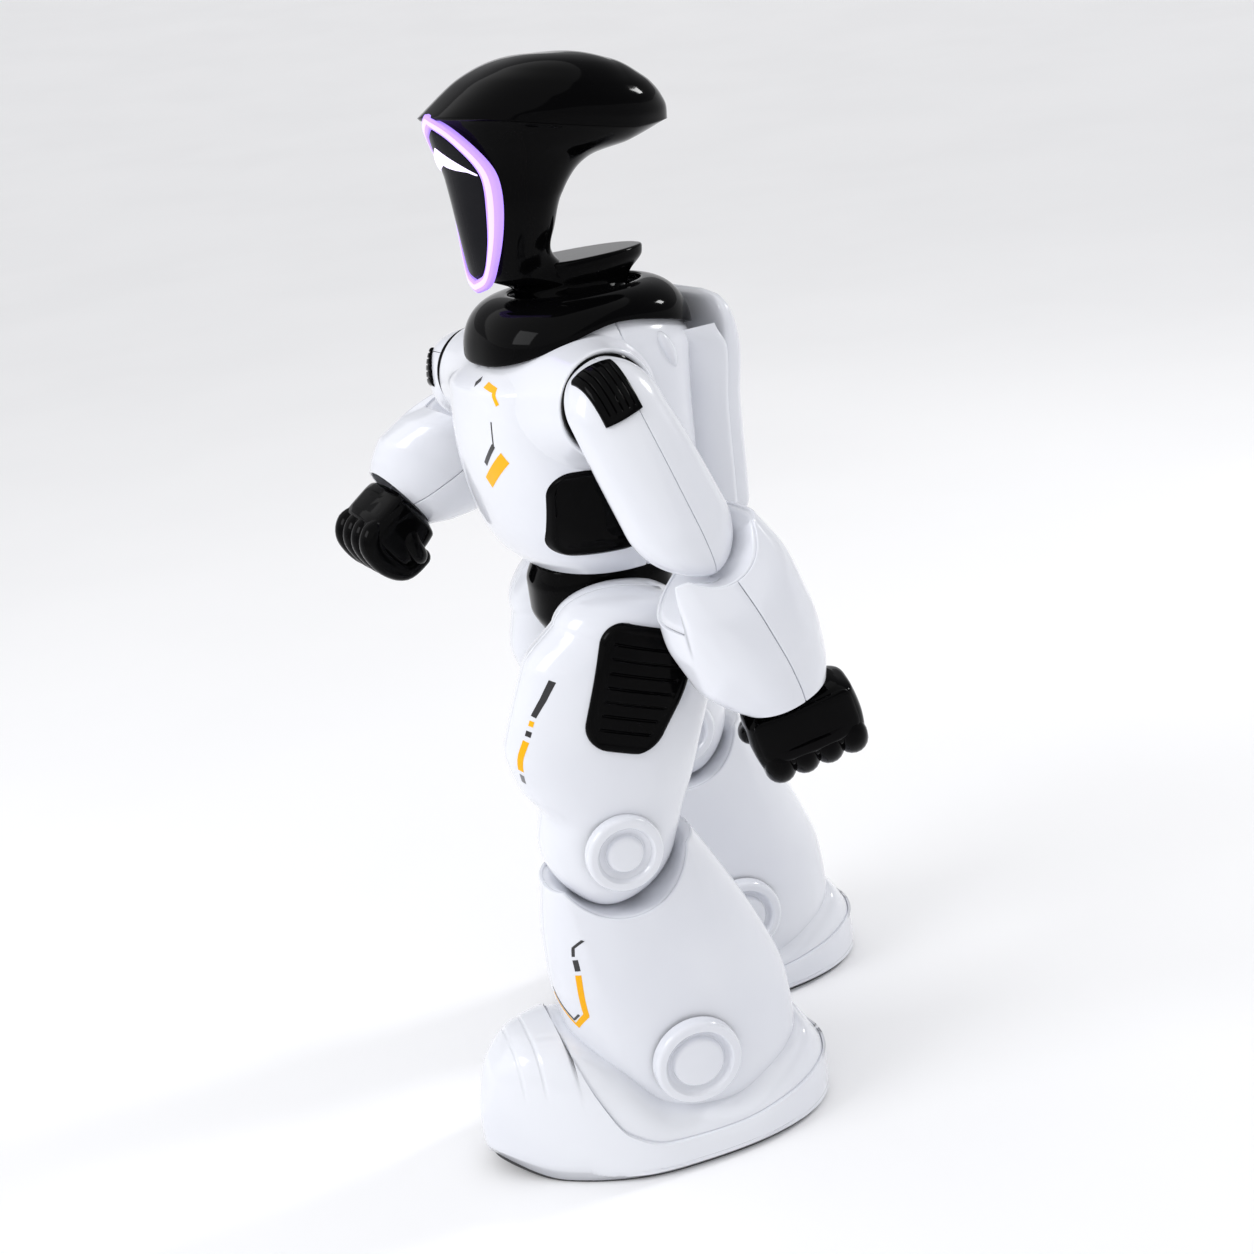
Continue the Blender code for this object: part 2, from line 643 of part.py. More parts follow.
def build_torso(pelvis):
    torso = empty("waist", (0, WAIST_Y, 0), pelvis, ("Z", TORSO_TWIST))
    front = add_piece("torso_front_shell", half_casing(TORSO_FORM, FRONT_HALF, 12, 8, 0, plain_edge), "white", torso)
    back = add_piece("torso_back_shell", half_casing(TORSO_FORM, REAR_HALF, 12, 8, 0, plain_edge), "white", torso)
    shoulder = (0, SHOULDER[1], SHOULDER[2])
    drill([front], "shoulder_bore_tool", torso, "left", 5.4, -60, 60, shoulder)
    add_piece("collar_yoke", collar(), "black", torso)
    add_piece("left_side_panel", torso_patch(1), "black", torso)
    add_piece("right_side_panel", torso_patch(-1), "black", torso)
    pack = add_piece("backpack_shell", closed_form(PACK_FORM, PACK_FORM.levels(7, 0), 20, (0, PACK_Y)), "white", torso)
    bay = add_piece("battery_bay_tool", box((38, 14, 48), (0, PACK_Y + 3.2, 252), 2.0), "grey", torso)
    combine(pack, bay, "DIFFERENCE")
    add_piece("battery_pack", box((36, 8.2, 45), (0, PACK_Y + 0.6, 252), 2.0), "dark", torso)
    door = prism(rounded(37.2, 47.2, 1.5, 2, (0, 252)), PACK_Y + 5.0, PACK_Y + 6.6, "Y")
    add_piece("battery_cover", door, "white", torso)
    add_piece("main_board", box((50, 1.6, 48), (0, 14, 252), 0.5), "board", torso)
    add_piece("power_switch", box((9, 2.4, 4.0), (0, PACK_Y + 7.9, 222.0), 0.8), "black", torso)
    return torso


# ---- arms ---------------------------------------------------------------------------------------
def splayed(shape):
    """Leans a limb's shape outward by the arms' splay, keeping its X axle level."""
    lean = math.radians(ARM_SPLAY)
    points, faces = shape
    return [(x - z * math.tan(lean), y, z) for x, y, z in points], faces


def shoulder_pad():
    """Cap from the top of the shoulder down the arm's front outer side."""
    grids = []
    across, along = 6, 5
    for lift in (1.9, GAP):
        grid = []
        for r in range(along + 1):
            z = 14.0 - 21.0 * r / along
            angles = [math.radians(-62 + 72 * c / across) for c in range(across + 1)]
            grid.append([UPPER_ARM_FORM.point(z, angle, -lift) for angle in angles])
        grids.append(grid)
    return thick_sheet(*grids)


def elbow_cheek():
    """A round cheek on the arm's inner side with its pin through the upper arm."""
    return turned([(-24.5, 0), (-24.5, 8.0), (-21.5, 8.0), (-21.5, PIN_R), (10.8, PIN_R), (10.8, 0)], 16)


def elbow_bracket():
    """Cranked arm from the cheek down to the forearm's inner side, seen from the front."""
    outline = [(-24.5, 1), (-24.5, -28), (-7.9, -28), (-7.9, -24.6), (-21.5, -24.6), (-21.5, 1)]
    return prism(outline, -6, 6, "Y")


def finger_curl():
    """Four fingers side by side, curled from the knuckles down and in to the palm, as one ridged bar."""
    path = [(5.5, -14.0), (6.0, -20.5), (2.0, -24.0), (-6.0, -25.0), (-13.0, -22.0), (-15.0, -14.0)]
    lobes, per_lobe, half = 4, 3, 15.5
    points = []
    for i, (x, z) in enumerate(path):
        before, after = path[max(0, i - 1)], path[min(len(path) - 1, i + 1)]
        run = Vector((after[0] - before[0], 0, after[1] - before[1])).normalized()
        up = Vector((run.z, 0, -run.x))
        size = 4.2 * (0.7 if i in (0, len(path) - 1) else 1.0)
        for face in (1, -1):
            for k in range(lobes * per_lobe):
                u = (k + 0.5) / (lobes * per_lobe)
                bulge = 0.6 + 0.4 * abs(math.sin(math.pi * lobes * u))
                points.append(tuple(Vector((x, face * half * (2 * u - 1), z)) + up * (face * size * bulge)))
    around = 2 * lobes * per_lobe
    faces = sheet_faces(len(path), around, 0, True)
    faces += [tuple(range(around)), tuple(range(len(points) - 1, len(points) - around - 1, -1))]
    return points, faces


def thumb_bar():
    """The thumb, laid across the curled fingers at the front."""
    path = [(0.0, -10.0, -6.0), (-5.5, -14.5, -9.0), (-12.0, -14.0, -12.0), (-16.0, -7.0, -13.0)]
    steps = 8
    points = []
    for i, place in enumerate(path):
        before, after = Vector(path[max(0, i - 1)]), Vector(path[min(len(path) - 1, i + 1)])
        run = (after - before).normalized()
        across = run.cross(Vector((0.3, 0, 1))).normalized()
        up = across.cross(run)
        size = 4.2 * (0.7 if i in (0, len(path) - 1) else 1.0)
        for k in range(steps):
            a = 2 * math.pi * k / steps
            points.append(tuple(Vector(place) + (across * math.cos(a) + up * math.sin(a)) * size))
    faces = sheet_faces(len(path), steps, 0, True)
    faces += [tuple(range(steps)), tuple(range(len(points) - 1, len(points) - steps - 1, -1))]
    return points, faces


def build_hand(side, wrist):
    """A closed fist: a palm block with four curled fingers and a thumb joined on."""
    name = side + "_hand"
    palm = Form([(-22.4, 8.0, 13.0, 15.0, 15.5, 3.4), (-19, 9.6, 14.4, 15.6, 16.0, 3.4),
                 (-12, 10.2, 14.6, 16.0, 16.5, 3.2),
                 (-4, 10.2, 14.0, 15.0, 15.5, 2.8), (-0.8, 9.5, 11.0, 13.0, 13.5, 2.4),
                 (-0.6, 9.4, 9.4, 9.4, 9.4, 2.0), (3.0, 9.4, 9.4, 9.4, 9.4, 2.0)])
    hand = add_piece(name, closed_form(palm, palm.heights, 16), "black", wrist, side)
    combine(hand, add_piece(name + "_finger_tool", finger_curl(), "black", wrist, side), "UNION")
    combine(hand, add_piece(name + "_thumb_tool", thumb_bar(), "black", wrist, side), "UNION")
    return hand


def build_arm(side, torso):
    sign = 1 if side == "left" else -1
    shoulder = empty(side + "_shoulder", (sign * SHOULDER[0], SHOULDER[1], SHOULDER[2]), torso,
                     ("X", SWING[side]))
    lean = math.tan(math.radians(ARM_SPLAY))
    elbow = empty(side + "_elbow", (sign * UPPER_ARM * lean, 0, -UPPER_ARM), shoulder, ("X", -BEND[side]))
    wrist = empty(side + "_wrist", (sign * FOREARM * lean, 0, -FOREARM), elbow, ("Z", WRIST_TURN[side]))

    def add(name, shape, look, parent, place=(0, 0, 0)):
        return add_piece(side + "_" + name, shape, look, parent, side, place)

    front = add("upper_arm_front_shell",
                splayed(half_casing(UPPER_ARM_FORM, FRONT_HALF, 8, 2, 3, plain_edge)), "white", shoulder)
    rear = add("upper_arm_rear_shell",
               splayed(half_casing(UPPER_ARM_FORM, REAR_HALF, 8, 2, 3, plain_edge)), "white", shoulder)
    elbow_place = (UPPER_ARM * lean, 0, -UPPER_ARM)
    drill([front, rear], side + "_elbow_drill", shoulder, side, PIN_HOLE_R, -30, 12.0, elbow_place)
    drill([front, rear], side + "_hub_drill", shoulder, side, 5.4, -30, 0)
    hub = [(-32, 0), (-32, 5.0), (-16.2, 5.0), (-16.2, SHOULDER_DISC_R), (-14.6, SHOULDER_DISC_R - 0.6),
           (-14.6, 5.0), (-7, 5.0), (-7, 0)]
    add("shoulder_hub", turned(hub, 20), "black", shoulder)
    add("shoulder_pad", splayed(shoulder_pad()), "black", shoulder)

    link = add("elbow_link", elbow_cheek(), "grey", elbow)
    combine(link, add("elbow_bracket_tool", elbow_bracket(), "grey", elbow), "UNION")
    add("forearm_front_shell",
        splayed(half_casing(FOREARM_FORM, FRONT_HALF, 10, 4, 0, plain_edge, elbow_cup)), "white", elbow)
    add("forearm_rear_shell",
        splayed(half_casing(FOREARM_FORM, REAR_HALF, 10, 4, 0, plain_edge, elbow_cup)), "white", elbow)
    build_hand(side, wrist)


# ---- head ---------------------------------------------------------------------------------------
# height, half width, y of the front, y of the back, squareness
COLUMN_ROWS = [
    (303.5, 20.5, -18.5, 23.0, 2.0),
    (308.5, 19.0, -18.5, 21.0, 2.0),
    (312.5, 13.0, -19.5, 12.0, 2.2),
    (317.5, 12.5, -28.5, 0.0, 2.4),
    (326.0, 14.5, -31.0, -7.0, 2.5),
    (333.0, 17.0, -31.8, -5.0, 2.5),
    (341.0, 19.5, -32.6, -2.5, 2.5),
    (348.5, 21.0, -33.5, 4.0, 2.5),
    (353.0, 23.0, -34.5, 12.0, 2.4),
    (357.0, 26.5, -36.5, 29.0, 2.4),
    (361.0, 29.0, -38.5, 43.0, 2.3),
]
BULB_ROWS = [
    (361.4, 30.0, -42.5, 42.5, 2.5),
    (366.5, 30.5, -39.5, 42.5, 2.5),
    (373.0, 27.5, -32.0, 39.5, 2.4),
    (379.5, 21.0, -21.5, 33.0, 2.2),
    (383.8, 12.0, -8.0, 25.0, 2.1),
]


def head_point(rows, z, angle, inset=0.0):
    heights = [row[0] for row in rows]
    half, front, back, power = (blend(z, heights, [row[k] for row in rows]) for k in range(1, 5))
    middle, reach = (front + back) / 2, (back - front) / 2
    c, s = math.cos(angle), math.sin(angle)
    x = (half - inset) * math.copysign(abs(c) ** (2 / power), c)
    y = middle + (reach - inset) * math.copysign(abs(s) ** (2 / power), s)
    return x, y, z + brow_rise(y, z)


def brow_rise(y, z):
    """The bulb's lower rim climbs towards the brow."""
    share = min(1.0, max(0.0, (-16.0 - y) / 26.0))
    return 11.0 * share * share * (3 - 2 * share) * min(1.0, max(0.0, (z - 344.0) / 16.0))


def head_shell(rows, levels, around, wall, closed_top):
    """Casing from the rows: open at both ends, or drawn together at its top."""
    grids = []
    for inset in (0.0, wall):
        grid = []
        for z in levels:
            drop = inset if closed_top and z > rows[-2][0] else 0.0
            row = [head_point(rows, z, 2 * math.pi * k / around, inset) for k in range(around)]
            grid.append([(x, y, high - drop) for x, y, high in row])
        if closed_top:
            top = grid[-1]
            centre = [sum(p[i] for p in top) / len(top) for i in range(3)]
            grid.append([(centre[0], centre[1], centre[2] + 1.0)] * around)
        grids.append(grid)
    return thick_tube(*grids, closed_end=closed_top)


def face_y(x, z):
    """Front surface of the face."""
    return blend(z, (313, 320, 336, 352, 363, 375), (-34.0, -34.6, -35.8, -37.8, -41.5, -44.5)) + x * x / 65


FACE_OUTLINE = ((0, 374.8), (9.5, 371), (17, 364.5), (21.5, 357), (22, 347), (19.5, 336),
                (15, 325.5), (8.5, 317), (0, 314.2))


def face_edge(share, inset):
    """Point of the face's outline, 0 at the top round by +X to 1; inset shrinks it."""
    half = share * 2 if share <= 0.5 else 2 - share * 2
    steps = [k / (len(FACE_OUTLINE) - 1) for k in range(len(FACE_OUTLINE))]
    x = blend(half, steps, [p[0] for p in FACE_OUTLINE])
    z = blend(half, steps, [p[1] for p in FACE_OUTLINE])
    reach = math.hypot(x, z - 345)
    x, z = x * (1 - inset / reach), 345 + (z - 345) * (1 - inset / reach)
    return (x if share <= 0.5 else -x), z


def face_band(outside, inside, front, thick, steps):
    """Closed band between two insets of the face's outline."""
    outer, inner = [], []
    for inset in (outside, inside):
        ring = [face_edge(k / steps, inset) for k in range(steps)]
        outer.append([(x, face_y(x, z) - front, z) for x, z in ring])
        inner.append([(x, face_y(x, z) - front + thick, z) for x, z in ring])
    return thick_tube(outer, inner)


def face_disc(outside, front, thick, steps, rings):
    """Closed plate inside the face's outline."""
    outer, inner = [], []
    for r in range(rings + 1):
        row = []
        for k in range(steps):
            x, z = face_edge(k / steps, outside)
            share = 1 - r / rings
            row.append((x * share, 345 + (z - 345) * share))
        outer.append([(x, face_y(x, z) - front, z) for x, z in row])
        inner.append([(x, face_y(x, z) - front + thick, z) for x, z in row])
    return thick_tube(outer, inner, closed_end=True)


def eye_band():
    """Two slanted eyes joined at the nose bridge."""
    low, high = [], []
    count = 8
    for k in range(count + 1):
        x = -15.5 + 31.0 * k / count
        reach = abs(x) / 15.5
        high.append((x, 363.5 - 9.5 * reach))
        low.append((x, 357.5 - 4.5 * reach))
    outer = [[(x, face_y(x, z) - 1.2, z) for x, z in row] for row in (low, high)]
    inner = [[(x, face_y(x, z) - 0.4, z) for x, z in row] for row in (low, high)]
    return thick_sheet(outer, inner)


def build_head(torso):
    head = empty("neck", (0, 1.0, 0), torso)
    column_levels = [row[0] for row in COLUMN_ROWS]
    column = add_piece("head_column_shell", head_shell(COLUMN_ROWS, column_levels, 20, 1.8, False), "black", head)
    nape = Form([(306.5, 15.5, 15.5, 13.5, 21, 2.2), (312, 14.5, 14.5, 13.5, 24, 2.3),
                 (317.5, 15, 15, 13.5, 30.0, 2.3), (320.5, 14.5, 14.5, 13.5, 30.5, 2.3)])
    plate = add_piece("nape_plate_tool", closed_form(nape, nape.heights, 16), "black", head)
    combine(column, plate, "UNION")
    bulb_levels = [361.4, 365.0, 370.0, 375.0, 380.0, 383.8]
    add_piece("helmet_shell", head_shell(BULB_ROWS, bulb_levels, 20, 2.0, True), "black", head)
    add_piece("face_light_ring", face_band(0.0, 4.2, 0.6, 1.8, 28), "light", head)
    add_piece("face_plate", face_disc(4.6, 0.0, 1.6, 28, 2), "black", head)
    add_piece("eye_lens", eye_band(), "light", head)
    return head


def main():
    clear_scene()
    pelvis = build_pelvis()
    for side in ("left", "right"):
        build_leg(side, pelvis)
    torso = build_torso(pelvis)
    for side in ("left", "right"):
        build_arm(side, torso)
    build_head(torso)


main()
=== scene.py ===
"""Looks of the walking humanoid toy robot: fine shells, pads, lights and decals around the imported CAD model.

Tables are in millimetres in each limb's own frame: +Z up the limb, the front is -Y, the robot's left is +X.
Limb pieces are drawn for the left side and mirrored in X for the right.
"""
import json
from functools import partial
from math import asin, copysign, cos, hypot, pi, radians, sin, sqrt

import bmesh
import bpy
from mathutils import Matrix, Vector


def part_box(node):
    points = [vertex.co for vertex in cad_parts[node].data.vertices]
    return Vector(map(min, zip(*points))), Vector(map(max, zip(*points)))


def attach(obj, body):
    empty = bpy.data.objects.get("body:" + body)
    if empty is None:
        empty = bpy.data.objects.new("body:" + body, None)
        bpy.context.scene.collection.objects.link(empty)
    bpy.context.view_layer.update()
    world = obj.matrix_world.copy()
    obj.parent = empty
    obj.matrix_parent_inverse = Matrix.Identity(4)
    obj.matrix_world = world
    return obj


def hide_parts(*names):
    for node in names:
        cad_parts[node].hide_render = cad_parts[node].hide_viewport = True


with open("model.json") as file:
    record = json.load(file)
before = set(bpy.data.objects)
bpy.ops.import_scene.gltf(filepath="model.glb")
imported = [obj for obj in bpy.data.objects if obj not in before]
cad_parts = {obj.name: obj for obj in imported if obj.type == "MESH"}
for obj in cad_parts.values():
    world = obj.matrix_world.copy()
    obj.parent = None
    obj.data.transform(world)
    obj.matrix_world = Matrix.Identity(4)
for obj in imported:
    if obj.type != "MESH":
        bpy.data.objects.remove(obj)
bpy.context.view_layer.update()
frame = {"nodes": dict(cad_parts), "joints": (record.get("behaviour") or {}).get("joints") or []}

MM = 0.001
SEAM = 0.15            # half the gap between two halves of a casing
WALL = 1.6             # casing wall
SHARP_ANGLE, BEVEL_ANGLE = 35, 50  # edges sharper than these, in degrees, stay sharp or are rounded
SIGNS = {"left": 1, "right": -1}
JOINTS = {joint["name"]: joint for joint in frame["joints"]}


# ---- places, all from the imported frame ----
def joint_place(name):
    return Vector(JOINTS[name]["pos_m"])


def frame_from(origin, x_axis, z_axis):
    y_axis = z_axis.cross(x_axis)
    turn = Matrix((x_axis, y_axis, z_axis)).transposed().to_4x4()
    return Matrix.Translation(origin) @ turn


def limb_frame(origin, x_axis, towards):
    """A limb's frame: -Z runs from its joint to the next one, as seen along the joint's axis."""
    run = towards - origin
    flat = run - x_axis * run.dot(x_axis)
    return frame_from(origin, x_axis, -flat.normalized())


UP = Vector((0, 0, 1))
PELVIS = Matrix.Translation(Vector((joint_place("waist_turn").x, joint_place("waist_turn").y, 0)))
SIDEWAYS = Vector(JOINTS["left_shoulder_swing"]["axis"]).normalized()  # the torso's own left
TORSO = frame_from(PELVIS.translation, SIDEWAYS, UP)
HEAD = frame_from(joint_place("neck_turn"), SIDEWAYS, UP)
HEAD.translation.z = 0.0
RIDES = {"shin": "lower_leg", "foot": "lower_leg"}  # bodies that aren't named as their frame
# how far the hand sits off the wrist's axis, and its turn about that axis in degrees
FIST_SHIFT = {"left": (0, 4.0, -2.8, -22), "right": (3.2, 1.0, 0.6, 0)}
FRAMES = {}
for side in SIGNS:
    hip, knee = joint_place(side + "_hip_swing"), joint_place(side + "_knee_bend")
    ankle = sum(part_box(side + "_ankle_outer_cap"), Vector()) / 2
    ankle.x = hip.x
    shoulder, elbow = joint_place(side + "_shoulder_swing"), joint_place(side + "_elbow_bend")
    wrist = joint_place(side + "_wrist_turn")
    FRAMES[side, "thigh"] = limb_frame(hip, Vector((1, 0, 0)), knee)
    FRAMES[side, "shin"] = limb_frame(knee, Vector((1, 0, 0)), ankle)
    FRAMES[side, "foot"] = Matrix.Translation(ankle)
    FRAMES[side, "upper_arm"] = limb_frame(shoulder, SIDEWAYS, elbow)
    FRAMES[side, "forearm"] = limb_frame(elbow, SIDEWAYS, wrist)
    fist = FRAMES[side, "forearm"].copy()
    fist.translation = wrist
    *shift, turn = FIST_SHIFT[side]
    FRAMES[side, "fist"] = (fist @ Matrix.Rotation(radians(90 if side == "right" else 0), 4, "Z")
                            @ Matrix.Translation(Vector(shift) * MM) @ Matrix.Rotation(radians(turn), 4, "Z"))
THIGH = (joint_place("left_knee_bend") - joint_place("left_hip_swing")).length / MM
SHIN = (FRAMES["left", "foot"].translation - FRAMES["left", "shin"].translation).length / MM
ARM_RUN = joint_place("left_elbow_bend") - joint_place("left_shoulder_swing")
ARM_OUT = ARM_RUN.dot(SIDEWAYS) / MM
UPPER_ARM = sqrt(ARM_RUN.length_squared / MM ** 2 - ARM_OUT ** 2)
LEAN = ARM_OUT / UPPER_ARM  # outward lean of the arms, as a slope


# ---- materials ----
def new_material(name):
    material = bpy.data.materials.new(name)
    material.use_nodes = True
    return material, material.node_tree, material.node_tree.nodes["Principled BSDF"]


def put(node, **values):
    """Sets input sockets; an underscore stands for a space."""
    for name, value in values.items():
        node.inputs[name.replace("_", " ")].default_value = value


def noise(tree, scale, detail=3.0):
    where = tree.nodes.new("ShaderNodeTexCoord")
    texture = tree.nodes.new("ShaderNodeTexNoise")
    put(texture, Scale=scale, Detail=detail)
    tree.links.new(where.outputs["Object"], texture.inputs["Vector"])
    return texture.outputs["Fac"]


def ramp(tree, source, low, high):
    step = tree.nodes.new("ShaderNodeValToRGB")
    step.color_ramp.elements[0].position, step.color_ramp.elements[0].color = 0.35, (*low, 1)
    step.color_ramp.elements[1].position, step.color_ramp.elements[1].color = 0.65, (*high, 1)
    tree.links.new(source, step.inputs["Fac"])
    return step.outputs["Color"]


def vary(tree, source, low, high, socket):
    """Feeds a socket with source, mapped to the range from low to high."""
    span = tree.nodes.new("ShaderNodeMapRange")
    put(span, To_Min=low, To_Max=high)
    tree.links.new(source, span.inputs["Value"])
    tree.links.new(span.outputs["Result"], socket)


def plastic(name, low, high, rough, coat, grain, grain_depth, gloss=0.5, metal=0.0):
    """Moulded plastic: colour drifts a little between low and high, roughness varies, fine surface waviness."""
    material, tree, shader = new_material(name)
    tree.links.new(ramp(tree, noise(tree, 18.0), low, high), shader.inputs["Base Color"])
    vary(tree, noise(tree, 60.0, 5.0), *rough, shader.inputs["Roughness"])
    put(shader, Coat_Weight=coat, Coat_Roughness=0.03, Specular_IOR_Level=gloss, Metallic=metal)
    bump = tree.nodes.new("ShaderNodeBump")
    put(bump, Strength=grain_depth, Distance=0.0004)
    tree.links.new(noise(tree, grain), bump.inputs["Height"])
    tree.links.new(bump.outputs["Normal"], shader.inputs["Normal"])
    return material


def glow(name, colour, strength):
    material, tree, shader = new_material(name)
    put(shader, Base_Color=(*colour, 1), Roughness=0.25, Emission_Color=(*colour, 1))
    vary(tree, noise(tree, 90.0), strength * 0.9, strength * 1.1, shader.inputs["Emission Strength"])
    return material


WHITE = plastic("white_plastic", (0.76, 0.775, 0.83), (0.80, 0.815, 0.86), (0.14, 0.2), 0.35, 220.0, 0.05)
BLACK = plastic("black_plastic", (0.001, 0.001, 0.0012), (0.002, 0.002, 0.0022), (0.05, 0.09), 0.0, 160.0,
                0.03, 0.05)
FACE = plastic("face_plastic", (0.006, 0.006, 0.008), (0.01, 0.01, 0.012), (0.1, 0.16), 0.0, 160.0, 0.03, 0.08)
RUBBER = plastic("sole_rubber", (0.02, 0.02, 0.022), (0.035, 0.035, 0.038), (0.5, 0.65), 0.0, 900.0, 0.5)
GREY = plastic("grey_plastic", (0.18, 0.18, 0.19), (0.24, 0.24, 0.25), (0.35, 0.45), 0.0, 500.0, 0.2)
BOARD = plastic("board_green", (0.01, 0.08, 0.03), (0.02, 0.13, 0.05), (0.35, 0.5), 0.2, 600.0, 0.2)
STEEL = plastic("steel", (0.45, 0.45, 0.46), (0.6, 0.6, 0.61), (0.2, 0.3), 0.0, 500.0, 0.2, metal=1.0)
ORANGE = plastic("orange_print", (0.90, 0.43, 0.004), (0.95, 0.48, 0.006), (0.2, 0.26), 0.0, 300.0, 0.03, 0.2)
INK = plastic("black_print", (0.012, 0.012, 0.014), (0.02, 0.02, 0.022), (0.16, 0.22), 0.3, 300.0, 0.03)
LILAC = glow("lilac_light", (0.36, 0.22, 0.86), 1.0)
LILAC_CORE = glow("lilac_light_core", (0.78, 0.68, 0.97), 1.0)
LILAC_SOFT = glow("lilac_light_soft", (0.56, 0.41, 0.93), 0.95)


# ---- mesh helpers ----
def blend(x, xs, ys):
    """Smooth monotone interpolation through (xs, ys); xs rise."""
    if x <= xs[0]:
        return ys[0]
    if x >= xs[-1]:
        return ys[-1]
    i = max(k for k in range(len(xs) - 1) if xs[k] <= x)

    def secant(k):
        return (ys[k + 1] - ys[k]) / (xs[k + 1] - xs[k])

    def slope(k):
        if k in (0, len(xs) - 1):
            return secant(0 if k == 0 else k - 1)
        before, after = secant(k - 1), secant(k)
        return 0.0 if before * after <= 0 else 2 * before * after / (before + after)

    h = xs[i + 1] - xs[i]
    t = (x - xs[i]) / h
    a, b = slope(i) * h, slope(i + 1) * h
    return (ys[i] * (1 + 2 * t) * (1 - t) ** 2 + a * t * (1 - t) ** 2
            + ys[i + 1] * t * t * (3 - 2 * t) - b * t * t * (1 - t))


def circle(count):
    """Angles round a full turn."""
    return [2 * pi * k / count for k in range(count)]


def smooth(low, high, x):
    t = min(1.0, max(0.0, (x - low) / (high - low)))
    return t * t * (3 - 2 * t)


def power(value, exponent):
    return copysign(abs(value) ** exponent, value)


class Form:
    """A tapering casing. Each row is height, half widths (+x, -x, front, back) and squareness.

    end_low and end_high close an end with a round cap: (height of its centre, its radius).
    """

    def __init__(self, rows, end_low=None, end_high=None):
        rows = sorted(rows)
        self.heights = [row[0] for row in rows]
        self.columns = [[row[k] for row in rows] for k in range(1, 6)]
        self.end_low, self.end_high = end_low, end_high

    def widths(self, z, inset=0.0):
        close = 1.0
        for end, sign in ((self.end_low, -1), (self.end_high, 1)):
            if end and (z - end[0]) * sign > 0:
                reach = min(1.0, abs(z - end[0]) / (end[1] - inset))
                close = sqrt(max(0.0, 1 - reach * reach))
        plus, minus, front, back, square = (blend(z, self.heights, c) for c in self.columns)
        narrow = close ** 0.36 if close > 1e-6 else 0.0
        return ((plus - inset) * narrow, (minus - inset) * narrow,
                (front - inset) * close, (back - inset) * close, square)

    def levels(self, count, cap, inset=0.0):
        low, high = self.heights[0], self.heights[-1]
        found = []
        if self.end_low:
            low = self.end_low[0]
            radius = self.end_low[1] - inset
            found += [low - radius * cos(pi / 2 * k / cap) for k in range(cap)]
        if self.end_high:
            high = self.end_high[0]
        found += [low + (high - low) * k / count for k in range(count + 1)]
        if self.end_high:
            radius = self.end_high[1] - inset
            found += [high + radius * sin(pi / 2 * k / cap) for k in range(1, cap + 1)]
        return found

    def point(self, z, angle, inset=0.0):
        """angle 0 is +x, 90 degrees the back, 180 -x, 270 the front."""
        plus, minus, front, back, square = self.widths(z, inset)
        c, s = cos(angle), sin(angle)
        return ((plus if c >= 0 else minus) * power(c, 2 / square),
                (back if s >= 0 else front) * power(s, 2 / square), z)

    def side(self, y, z):
        """x of the surface on the +x side at (y, z)."""
        plus, minus, front, back, square = self.widths(z)
        reach = min(0.999, abs(y) / max(back if y >= 0 else front, 1e-6))
        return plus * (1 - reach ** square) ** (1 / square)


def grid(rows, closed=False):
    """Points and faces of a sheet from rows of points; closed joins each row's ends."""
    columns = len(rows[0])
    points = [p for row in rows for p in row]
    faces = []
    for r in range(len(rows) - 1):
        for c in range(columns if closed else columns - 1):
            n = (c + 1) % columns
            faces.append((r * columns + c, r * columns + n, (r + 1) * columns + n, (r + 1) * columns + c))
    return points, faces


def sheet(rows, columns, point, closed=False):
    """A grid of point(row, column)."""
    return grid([[point(r, c) for c in columns] for r in rows], closed)


def capped(shape, columns):
    """Closes both ends of a closed grid."""
    points, faces = shape
    last = len(points) - columns
    return points, faces + [tuple(range(columns)), tuple(range(len(points) - 1, last - 1, -1))]


def topped(shape, columns):
    """Closes the last ring of a closed grid."""
    points, faces = shape
    return points, faces + [tuple(range(len(points) - columns, len(points)))]


def turned(profile, steps=72, axis="X"):
    """A turned piece from (distance along the axis, radius) pairs; the axis is X or Y."""
    rows = []
    for along, radius in profile:
        ring = [(radius * cos(a), radius * sin(a)) for a in circle(steps)]
        rows.append([(v, along, u) if axis == "Y" else (along, u, v) for u, v in ring])
    return grid(rows, True)


def join(*shapes):
    points, faces = [], []
    for some_points, some_faces in shapes:
        faces += [tuple(i + len(points) for i in face) for face in some_faces]
        points += some_points
    return points, faces


def moved(shape, by):
    points, faces = shape
    return [(x + by[0], y + by[1], z + by[2]) for x, y, z in points], faces


def leaned(shape):
    """Leans an arm's shape outward."""
    points, faces = shape
    return [(x - z * LEAN, y, z) for x, y, z in points], faces


def placed(name, data):
    thing = bpy.data.objects.new(name, data)
    bpy.context.collection.objects.link(thing)
    return thing


